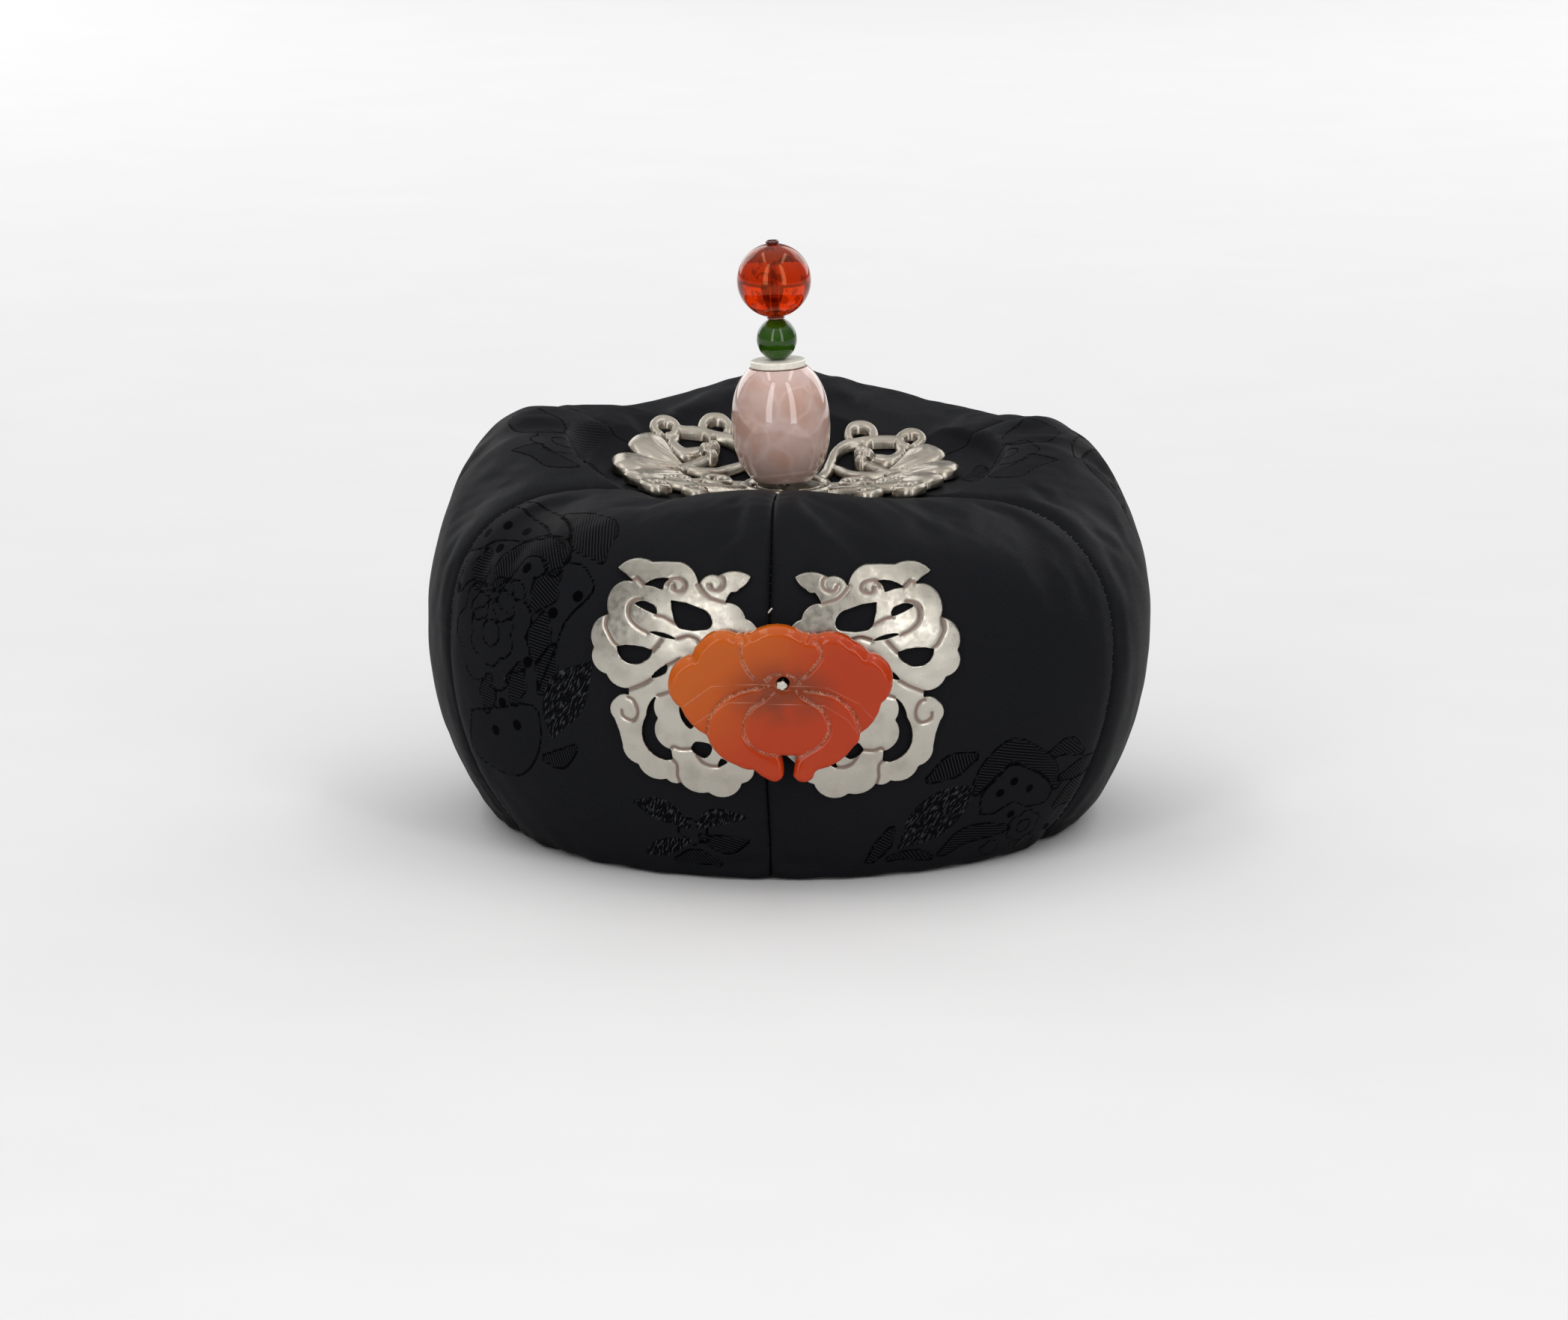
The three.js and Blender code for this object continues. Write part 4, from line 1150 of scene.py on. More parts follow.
POMEGRANATE = Figure(
    leaves=(
        Leaf(((-29.0, 59.4, 1.0), (-28.9, 62.5, 2.7), (-28.9, 65.6, 1.0)), 90),
        Leaf(((-37.0, 59.6, 1.0), (-37.0, 62.4, 2.2), (-37.0, 65.2, 1.0)), 90),
        Leaf(((-21.8, 60.4, 1.6), (-21.0, 64.2, 2.8), (-18.2, 68.2, 2.4), (-13.4, 69.4, 2.4),
              (-9.0, 67.6, 2.6), (-8.2, 64.0, 1.2)), 35),
        Leaf(((-11.2, 56.4, 1.0), (-9.4, 59.6, 3.2), (-7.6, 62.8, 1.2)), 55),
        Leaf(((-10.2, 46.6, 1.0), (-9.4, 50.4, 2.7), (-8.4, 54.2, 1.0)), 80),
        Leaf(((-8.6, 40.0, 0.8), (-7.6, 44.0, 2.3), (-6.2, 48.0, 0.8)), 80),
        Leaf(((-16.2, 37.0, 0.8), (-15.4, 40.4, 2.5), (-14.2, 43.8, 0.8)), 80),
        Leaf(((-25.0, 34.4, 0.8), (-24.0, 37.6, 2.3), (-23.2, 40.8, 0.8)), 80),
        Leaf(((-30.6, 79.8, 0.5), (-24.0, 79.6, 1.5), (-17.0, 77.2, 1.9), (-11.0, 72.8, 1.6),
              (-6.4, 66.4, 0.6)), -20),
        Leaf(((-14.6, 79.0, 0.6), (-9.2, 77.2, 2.4), (-4.4, 73.8, 4.4), (-1.2, 70.4, 3.6),
              (1.4, 66.8, 0.6)), 25),
        Leaf(((-7.0, 30.8, 0.8), (-5.2, 35.6, 3.8), (-2.4, 40.4, 4.4), (2.2, 45.8, 0.8)), 55, True),
        Leaf(((-9.6, 25.4, 0.5), (-6.0, 25.6, 1.6), (-2.2, 28.2, 0.5)), 10),
    ),
    rosettes=(
        Rosette(-22.6, 50.0, 2.6, 1, 0.0),
        Rosette(-22.6, 50.0, 5.6, 6, 0.10),
        Rosette(-22.6, 50.0, 9.4, 7, 0.12),
        Rosette(-19.2, 55.6, 2.6, 5, 0.12),
        Rosette(-26.4, 55.0, 2.4, 5, 0.12),
    ),
    bodies=(
        ((-37.4, 64.9), (-36.2, 68.8), (-34.4, 73.5), (-32.3, 76.8), (-29.5, 78.6), (-18.9, 75.9),
         (-14.8, 73.2), (-14.3, 71.2), (-20.0, 70.4), (-24.7, 69.8), (-28.8, 68.4), (-31.6, 66.3)),
        ((-30.4, 33.3), (-23.5, 34.5), (-11.2, 36.4), (-9.8, 30.4), (-13.0, 24.0), (-19.5, 20.0),
         (-29.3, 21.5), (-33.3, 25.1)),
    ),
    lines=(
        ((-5.9, 65.9), (-1.8, 65.0), (1.2, 61.7), (0.9, 59.0), (-3.5, 53.9), (-5.7, 48.0), (-9.9, 39.1)),
        ((-33.6, 57.0), (-30.6, 60.0), (-26.8, 59.4), (-23.2, 58.0), (-19.6, 61.2), (-15.4, 60.6),
         (-13.6, 57.2)),
        ((-12.6, 66.2), (-10.4, 63.4), (-13.0, 61.8)),
    ),
    spots=((-32.0, 70.0), (-27.6, 73.1), (-21.7, 73.0), (-25.9, 67.4), (-15.3, 63.8), (-35.2, 57.5),
           (-1.5, 59.0), (-6.6, 55.4), (-12.2, 45.2), (-19.6, 36.1), (-22.9, 29.9), (-15.9, 31.9)),
)

SPRAY = Figure(
    leaves=(
        Leaf(((4.0, 19.8, 0.8), (6.8, 24.6, 2.0), (11.0, 28.2, 2.1), (16.2, 26.0, 2.0), (21.2, 22.8, 1.8),
              (24.6, 18.6, 0.6)), 80),
        Leaf(((3.4, 20.6, 0.8), (-0.6, 17.4, 4.2), (-4.8, 12.8, 4.6), (-8.8, 7.8, 0.8)), 30, True),
        Leaf(((-5.6, 23.0, 0.6), (-1.6, 25.6, 2.2), (2.6, 27.4, 0.6)), 20),
        Leaf(((-14.2, 4.8, 0.5), (-12.6, 8.4, 1.3), (-11.6, 12.0, 0.4)), 60),
        Leaf(((-10.4, 5.0, 0.4), (-6.2, 5.4, 1.1), (-2.4, 4.2, 0.4)), 40),
        Leaf(((0.4, 5.2, 0.8), (3.6, 8.6, 1.7), (8.0, 9.6, 1.6), (12.6, 9.6, 0.8)), 85),
        Leaf(((21.2, 26.6, 0.5), (25.6, 27.4, 1.7), (30.2, 25.6, 0.5)), 60),
        Leaf(((25.6, 20.2, 0.6), (31.2, 21.8, 1.9), (37.4, 23.4, 0.6)), 50),
        Leaf(((26.4, 13.4, 0.8), (31.0, 16.4, 2.9), (37.0, 19.2, 0.8)), 60),
    ),
    rosettes=(
        Rosette(18.0, 9.4, 1.7, 1, 0.0),
        Rosette(18.0, 9.4, 3.4, 6, 0.12),
        Rosette(20.8, 3.6, 2.4, 5, 0.12),
        Rosette(11.0, 4.6, 1.9, 5, 0.12),
    ),
    bodies=(
        ((6.2, 14.1), (5.7, 18.7), (8.9, 22.7), (11.2, 25.0), (16.4, 23.4), (21.2, 20.8), (23.5, 17.4),
         (22.2, 14.7), (17.1, 14.6), (13.1, 16.2), (9.1, 13.8)),
    ),
    spots=((12.5, 21.1), (9.7, 18.7), (16.7, 19.0), (13.5, 13.2), (26.0, 7.3), (31.4, 4.1)),
    spot_radius=0.95,
)

TWIG = Figure(
    leaves=(
        Leaf(((9.2, 17.6, 0.5), (14.4, 16.2, 2.6), (19.4, 12.6, 0.6)), 15, True),
        Leaf(((9.0, 5.6, 0.5), (13.4, 7.6, 2.0), (18.6, 9.6, 0.5)), 60, True),
        Leaf(((21.0, 12.8, 0.5), (25.0, 15.2, 2.0), (30.6, 15.4, 0.5)), 40, True),
        Leaf(((21.6, 10.4, 0.5), (25.4, 8.8, 1.8), (29.4, 9.8, 0.5)), 70),
        Leaf(((15.4, 4.6, 0.4), (19.4, 5.6, 1.5), (23.0, 4.0, 0.4)), 30),
    ),
    rosettes=(Rosette(20.0, 11.6, 2.4, 5, 0.14),),
)

CLOUD = Figure(
    leaves=(Leaf(((8.0, 101.0, 0.6), (2.0, 103.2, 2.4), (-6.0, 104.2, 0.6)), 20),),
    rosettes=(Rosette(1.0, 97.0, 5.4, 6, 0.12), Rosette(1.0, 97.0, 2.4, 1, 0.0)),
    bodies=(
        ((-20.0, 92.0), (-17.2, 93.9), (-13.1, 97.6), (-8.5, 99.0), (-4.4, 97.6), (-3.4, 92.6),
         (-6.0, 88.0), (-14.0, 86.4)),
        ((5.0, 85.4), (9.7, 88.5), (15.0, 90.5), (12.6, 97.0), (6.4, 92.2), (3.5, 91.4)),
    ),
)


@dataclass(frozen=True)
class Placement:
    """A figure laid on a gore: how far it is moved across and up, and whether it is turned over."""

    figure: Figure
    across: float = 0.0
    up: float = 0.0
    turned_over: bool = False


class Damask:
    """Works out where each point of the cloth lies in the woven figures."""

    def __init__(self, placements: Sequence[Placement]) -> None:
        """Keeps the figures of one gore."""
        self.placements = placements

    def values(self, across: Array, up: Array) -> dict[str, Array]:
        """Signed distances to the figures' parts.

        Args:
            across: cloth places across from the middle line.
            up: cloth places up from the hem.

        Returns:
            The distance to the striped leaves, the streaked leaves, the drawn outlines, the spots
            and the plain bodies, and the place across the stripes.
        """
        keys = ("figure", "woven", "outline", "spot", "body")
        found = {key: np.full(len(across), FAR) for key in keys}
        found["stripe"] = np.zeros(len(across))
        for placement in self.placements:
            local = np.stack([across - placement.across, up - placement.up], axis=1)
            if placement.turned_over:
                local[:, 0] *= -1
            self.add(found, placement.figure, local)
        return found

    @staticmethod
    def add(found: dict[str, Array], figure: Figure, local: Array) -> None:
        """Works one figure into the values.

        Args:
            found: the values so far, changed in place.
            figure: the figure.
            local: cloth places in the figure's own axes.
        """

        def lower(key: str, distance: Array) -> None:
            """Keeps the smaller distance at each place."""
            found[key] = np.minimum(found[key], distance)

        for leaf in figure.leaves:
            fit = line_fit(local, curve_through(leaf.rows, 5))
            edge = fit.distance - fit.values[:, 0]
            if leaf.streaked:
                lower("woven", edge)
                continue
            nearer = edge < found["figure"]
            turn = math.radians(leaf.stripe)
            run = local @ np.array([math.cos(turn), math.sin(turn)])
            found["stripe"][nearer] = run[nearer]
            lower("figure", edge)
            lower("outline", np.abs(edge - LEAF_MARGIN))
        for flower in figure.rosettes:
            offset = local - np.array([flower.across, flower.up])
            angle = np.arctan2(offset[:, 1], offset[:, 0])
            edge = flower.radius * (1 + flower.scallop * np.abs(np.sin(flower.petals * angle / 2)) * 2)
            lower("outline", np.abs(np.hypot(*offset.T) - edge))
        for corners in figure.bodies:
            loop = curve_through([*corners, corners[0]], 4)[:-1]
            edge = loop_distance(local, loop)
            lower("body", edge)
            lower("outline", np.abs(edge))
        for points in figure.lines:
            lower("outline", line_fit(local, curve_through(points, 4)).distance)
        for spot in figure.spots:
            lower("spot", np.hypot(*(local - np.array(spot)).T) - figure.spot_radius)


def outward(places: Array) -> Array:
    """Unit directions out of a grid whose columns run round the cap and whose rows run up it."""
    across = np.gradient(places, axis=0)
    upward = np.gradient(places, axis=1)
    rows = np.cross(across, upward)
    return rows / np.maximum(np.linalg.norm(rows, axis=-1, keepdims=True), 1e-9)


def enlarged(grid: Array, columns: int, rows: int) -> Array:
    """Resamples a grid of numbers to more columns and rows, and rounds off its steps.

    Args:
        grid: the numbers, column by column.
        columns: how many columns the new grid has.
        rows: how many rows it has.

    Returns:
        The new grid.
    """
    old_columns, old_rows = grid.shape
    row_places = np.linspace(0, old_rows - 1, rows)
    column_places = np.linspace(0, old_columns - 1, columns)
    wide = np.array([np.interp(row_places, np.arange(old_rows), line) for line in grid])
    full = np.array([np.interp(column_places, np.arange(old_columns), line) for line in wide.T]).T
    kernel = np.array([1.0, 4.0, 6.0, 4.0, 1.0]) / 16.0
    for axis in (0, 1, 0, 1):
        edges = [(2, 2) if axis == at else (0, 0) for at in (0, 1)]
        spread = np.pad(full, edges, mode="edge")
        full = np.apply_along_axis(np.convolve, axis, spread, kernel, mode="valid")
    return full


@dataclass(frozen=True)
class SilkCover:
    """A short cloth run that lets a panel's silk swell over its wadding and pucker at its seams."""

    columns: int = 37
    rows: int = 66
    pressure: float = 4.0
    spare_cloth: float = 0.03
    slack: float = 0.5
    frames: int = 20
    cap: float = 0.8

    def swell(self, places: Array, held: Array) -> Array:
        """Blows the cover up against the places where it is sewn down.

        Args:
            places: the cover's grid in millimetres.
            held: true where the cover is sewn down.

        Returns:
            How far each point of the grid ends up outside it, in millimetres.
        """
        out = outward(places)
        ease = self.slack * ~held
        start = places - out * ease[..., None]
        index = np.arange(held.size).reshape(held.shape)
        quads = np.stack([index[:-1, :-1], index[1:, :-1], index[1:, 1:], index[:-1, 1:]], axis=-1)
        mesh = bpy.data.meshes.new("cover")
        mesh.from_pydata((start * MILLIMETRE).reshape(-1, 3).tolist(), [], quads.reshape(-1, 4).tolist())
        cover = new_piece("cover", mesh)
        sewn = cover.vertex_groups.new(name="sewn")
        sewn.add(np.flatnonzero(held).tolist(), 1.0, "REPLACE")
        self.run(cover)
        moved = self.settled(cover) / MILLIMETRE
        bpy.data.objects.remove(cover)
        bpy.data.meshes.remove(mesh)
        rise = np.einsum("ijk,ijk->ij", moved.reshape(start.shape) - start, out)
        return self.cap * np.tanh(rise / self.cap) - ease

    def run(self, cover: Piece) -> None:
        """Gives the cover its cloth settings and steps through the run.

        Args:
            cover: the cover's grid, with its sewn edges in a vertex group.
        """
        modifier = cover.modifiers.new("silk", "CLOTH")
        silk = modifier.settings
        silk.vertex_group_mass = "sewn"
        silk.quality = 6
        silk.mass = 0.15
        silk.tension_stiffness = silk.compression_stiffness = 10.0
        silk.shear_stiffness = 4.0
        silk.bending_stiffness = 0.05
        silk.shrink_min = -self.spare_cloth
        silk.use_pressure = True
        silk.uniform_pressure_force = self.pressure
        silk.effector_weights.gravity = 0.0
        modifier.collision_settings.use_collision = False
        modifier.point_cache.frame_start = 1
        modifier.point_cache.frame_end = self.frames
        for frame in range(1, self.frames + 1):
            bpy.context.scene.frame_set(frame)

    def settled(self, cover: Piece) -> Array:
        """The places of the cover after the run, in metres, with the clock turned back."""
        mesh = cover.evaluated_get(bpy.context.evaluated_depsgraph_get()).data
        places = np.zeros(len(mesh.vertices) * 3, np.float32)
        mesh.vertices.foreach_get("co", places)
        bpy.context.scene.frame_set(1)
        return places.reshape(-1, 3).astype(float)


class FrontSeam(Enum):
    """The side of a panel that lies on the front seam."""

    NONE = 0
    START = -1
    END = 1


@dataclass(frozen=True)
class Gore:
    """One padded panel of the cap, with its seams, puckers, hem and woven figures."""

    name: str
    start: float
    placements: tuple[Placement, ...]
    seed: int
    front_seam: FrontSeam = FrontSeam.NONE
    fold_at_start: float = 0.0
    columns: int = 122
    outer_rows: int = 224
    inner_rows: int = 26
    seam_clearance: float = 0.3
    seam_depth: float = 0.6
    seam_width: float = 0.55
    shoulder_depth: float = 0.32
    shoulder_width: float = 3.0
    seam_wobble: float = 0.4
    open_seam: float = 1.2
    open_seam_middle: float = 65.0
    pucker_depth: float = 0.12
    pucker_reach: float = 3.2
    pucker_pitch: float = 3.4
    plate_gap: float = 0.3
    hem_round: float = 1.7
    hem_wave: float = 0.45
    fade_reach: float = 12.0
    open_seam_reach: float = 9.0
    soft_depth: float = 0.18
    fine_depth: float = 0.05
    fold_width: float = 2.2
    shoulder_length: float = 66.0
    top_length: float = 60.0
    plate_half: float = 37.0
    plate_low: float = 16.0
    plate_high: float = 67.0

    def surface(self, inner: bool, columns: int, rows: int) -> tuple[Array, Array]:
        """Places of the panel's outer or inner surface on a grid.

        Args:
            inner: whether the inside is meant.
            columns: how many meridians the grid has.
            rows: how many places each meridian has, evenly spaced along it.

        Returns:
            The places, and for each its distance along the meridian from the hem.
        """
        travel = np.concatenate([
            np.linspace(0, 1, 160, endpoint=False),
            np.linspace(1, 2, 320, endpoint=False),
            np.linspace(2, 3, 160),
        ])
        places = np.zeros((columns, rows, 3))
        lengths = np.zeros((columns, rows))
        wobbles = self.seam_wobbles(rows)
        for column, share in enumerate(np.linspace(0, 1, columns)):
            azimuth = self.start + CAP.gore_span * share
            radius, height = CAP.profile(CAP.meridian(azimuth), travel, inner)
            run = np.concatenate([[0.0], np.cumsum(np.hypot(np.diff(radius), np.diff(height)))])
            length = np.linspace(0, run[-1], rows)
            r = np.interp(length, run, radius)
            turn = math.radians(CAP.sewn_azimuth(azimuth))
            shift = self.seam_clearance * (0.5 - share)
            shift = shift + wobbles[0] * (1 - share) ** 5 + wobbles[1] * share ** 5
            places[column, :, 0] = r * math.sin(turn) + shift * math.cos(turn)
            places[column, :, 1] = -r * math.cos(turn) + shift * math.sin(turn)
            places[column, :, 2] = np.interp(length, run, height)
            lengths[column] = length
        return places, lengths

    def seam_wobbles(self, rows: int) -> tuple[Array, Array]:
        """How far the two hand-sewn seams wander sideways along their length, shared by neighbours."""
        gore = int((self.start + 180) // CAP.gore_span)
        run = np.linspace(0, 1, rows)[:, None]
        ends = np.clip(run[:, 0] * 8, 0, 1) * np.clip((0.8 - run[:, 0]) * 5, 0, 1)
        return tuple(
            self.seam_wobble * ends * ripple(run, 0.4, 100 + seam % 6) for seam in (gore, gore + 1)
        )

    def solid(self) -> Solid:
        """The closed panel with its cloth values."""
        outer, length = self.surface(False, self.columns, self.outer_rows)
        inner, _ = self.surface(True, self.columns, self.inner_rows)
        share = np.linspace(0, 1, self.columns)[:, None]
        radius = np.hypot(outer[..., 0], outer[..., 1])
        half = radius * math.radians(CAP.gore_span / 2)
        across = half * (2 * share - 1)
        outer = self.sewn(outer, across, half, length)
        self.round_hem(outer, inner)
        places = np.concatenate([outer, inner[:, ::-1]], axis=1)
        values = Damask(self.placements).values(across.ravel(), length.ravel())
        values["cloth_across"] = across.ravel()
        values["cloth_up"] = length.ravel()
        spread = {key: self.over_all(numbers) for key, numbers in values.items()}
        return Solid(to_frame(places.reshape(-1, 3)), self.faces(places), spread)

    def over_all(self, numbers: Array) -> Array:
        """Spreads values of the outer grid over the whole panel, with the inside left plain."""
        grid = numbers.reshape(self.columns, self.outer_rows)
        inside = np.full((self.columns, self.inner_rows), FAR)
        return np.concatenate([grid, inside], axis=1).ravel()

    def cover(self) -> Array:
        """How far the silk stands out over its wadding on the fine grid, in millimetres."""
        silk = SilkCover()
        places, length = self.surface(False, silk.columns, silk.rows)
        held = np.zeros(length.shape, bool)
        held[[0, -1]] = True
        held[:, :2] = True
        held |= np.hypot(places[..., 0], places[..., 1]) < 20.0
        rise = silk.swell(places, held)
        LOG.info("%s: silk stands out %.2f to %.2f mm", self.name, rise.min(), rise.max())
        return enlarged(rise, self.columns, self.outer_rows)

    def sewn(self, places: Array, across: Array, half: Array, length: Array) -> Array:
        """Draws the surface in along the seams, and keeps it under the two plates.

        Args:
            places: the smooth outer grid.
            across: cloth places across from the middle line.
            half: half the panel's width at each place.
            length: cloth places up from the hem.

        Returns:
            The grid with its creases, puckers and soft unevenness.
        """
        at_start = across < 0
        from_seam = half - np.abs(across)
        fade = np.clip((length[:, -1:] - length) / self.fade_reach, 0, 1)
        crease = self.seam_depth * np.exp(-from_seam / self.seam_width)
        if self.front_seam is not FrontSeam.NONE:
            beside = at_start if self.front_seam is FrontSeam.START else ~at_start
            opening = np.exp(-((length - self.open_seam_middle) / self.open_seam_reach) ** 2)
            crease = crease * (1 + self.open_seam * opening * beside)
        shoulder = self.shoulder_depth * np.exp(-((from_seam / self.shoulder_width) ** 2))
        seam_row = np.stack([length.ravel(), np.where(at_start, 0.0, 40.0).ravel()], axis=1)
        wave = ripple(seam_row, self.pucker_pitch, self.seed).reshape(length.shape)
        patches = ripple(seam_row / 5, 6.0, self.seed + 1).reshape(length.shape)
        near_seam = np.exp(-from_seam / self.pucker_reach)
        pucker = self.pucker_depth * wave * smooth((patches + 1) / 2) * near_seam
        soft = self.soft_depth * ripple(places, 34.0, self.seed + 2)
        soft += self.fine_depth * ripple(places, 9.0, self.seed + 3)
        soft *= np.clip(length / 10, 0, 1) * np.clip(from_seam / 6, 0, 1)
        top = smooth((length - self.shoulder_length) / 12) * fade
        fold = self.fold_at_start * np.exp(-((from_seam / self.fold_width) ** 2)) * top * at_start
        push = self.cover() + soft + pucker - (crease + shoulder) * fade - fold
        behind_plate = (np.abs(places[..., 0]) < self.plate_half) & (places[..., 1] < 0)
        behind_plate &= (places[..., 2] > self.plate_low) & (places[..., 2] < self.plate_high)
        push = np.where(behind_plate, np.minimum(push, self.plate_gap), push)
        moved = places + outward(places) * push[..., None]
        limit = SEAT.pressed(moved[..., 0], moved[..., 1])
        over_top = length > self.top_length
        moved[..., 2] = np.where(over_top, np.minimum(moved[..., 2], limit), moved[..., 2])
        return moved

    def round_hem(self, outer: Array, inner: Array) -> None:
        """Rounds the folded hem and lets it wave a little, both grids being changed in place.

        Args:
            outer: places of the outer face.
            inner: places of the inner face.
        """
        for grid, way in ((outer, -1.0), (inner, 1.0)):
            height = np.clip(grid[..., 2], 0, None)
            low = np.clip(1 - height / self.hem_round, 0, 1)
            tuck = self.hem_round * (1 - np.sqrt(1 - low * low))
            radius = np.hypot(grid[..., 0], grid[..., 1])
            uneven = 0.35 * ripple(grid[..., :2], 11.0, 76) * np.clip(1 - height / 8, 0, 1)
            scale = (radius + way * tuck + uneven) / radius
            grid[..., :2] *= scale[..., None]
            lift = self.hem_wave * (0.5 + 0.5 * ripple(grid[..., :2], 9.0, 77))
            grid[..., 2] += np.clip(lift, 0, 1) * np.clip(1 - height / 5, 0, 1)

    def faces(self, places: Array) -> list[list[int]]:
        """Joins the grid's columns round the panel and closes its two seam sides.

        Args:
            places: the closed rings of places, one for each column.

        Returns:
            The faces.
        """
        columns, count = places.shape[:2]
        index = np.arange(columns * count).reshape(columns, count)
        turned = np.roll(index, -1, axis=1)
        quads = np.stack([index[:-1], index[1:], turned[1:], turned[:-1]], axis=-1).reshape(-1, 4)
        faces = quads.tolist()
        outer = index[:, :self.outer_rows]
        inner = index[:, self.outer_rows:][:, ::-1]
        faces += [face[::-1] for face in self.zipped(outer[-1], inner[-1])]
        faces += self.zipped(outer[0], inner[0])
        return faces

    @staticmethod
    def zipped(first: Array, second: Array) -> list[list[int]]:
        """Triangles between two rows of point numbers that run side by side.

        Args:
            first: point numbers of one row.
            second: point numbers of the other row.

        Returns:
            The triangles, as point numbers.
        """
        faces = []
        i = j = 0
        while i + 1 < len(first) or j + 1 < len(second):
            first_share = (i + 1) / (len(first) - 1)
            second_share = (j + 1) / (len(second) - 1)
            if j + 1 >= len(second) or (i + 1 < len(first) and first_share <= second_share):
                faces.append([int(first[i]), int(first[i + 1]), int(second[j])])
                i += 1
            else:
                faces.append([int(first[i]), int(second[j + 1]), int(second[j])])
                j += 1
        return faces

    def build(self, silk: Material) -> Piece:
        """Makes the panel as a padded piece.

        Args:
            silk: its material.

        Returns:
            The finished piece.
        """
        piece = mesh_piece(self.name, self.solid(), 60.0)
        mesh = piece.data
        numbers = {}
        for key in ("cloth_across", "cloth_up"):
            numbers[key] = np.zeros(len(mesh.vertices), np.float32)
            mesh.attributes[key].data.foreach_get("value", numbers[key])
            mesh.attributes.remove(mesh.attributes[key])
        corners = np.zeros(len(mesh.loops), np.int32)
        mesh.loops.foreach_get("vertex_index", corners)
        cloth = np.stack([numbers["cloth_across"][corners], numbers["cloth_up"][corners]], axis=1) / 100.0
        layer = mesh.uv_layers.new(name="cloth")
        layer.data.foreach_set("uv", np.ascontiguousarray(cloth, np.float32).ravel())
        dress(piece, silk, "black_silk", self.name)
        return piece


GORES = (
    Gore("gore_front_left", -60, (Placement(POMEGRANATE), Placement(TWIG)), 11, FrontSeam.END),
    Gore("gore_front_right", 0, (Placement(SPRAY),), 23, FrontSeam.START),
    Gore("gore_side_left", -120, (Placement(CLOUD), Placement(SPRAY, -22.0, 8.0, True)), 31),
    Gore("gore_side_right", 60, (Placement(CLOUD, 4.0, 0.0, True), Placement(POMEGRANATE, 34.0, 2.0)), 47,
         fold_at_start=1.7),
    Gore("gore_back_left", -180, (Placement(POMEGRANATE, 14.0, -6.0),), 53),
    Gore("gore_back_right", 120, (Placement(SPRAY, -4.0, 22.0, True), Placement(TWIG, -34.0, 4.0)), 61),
)


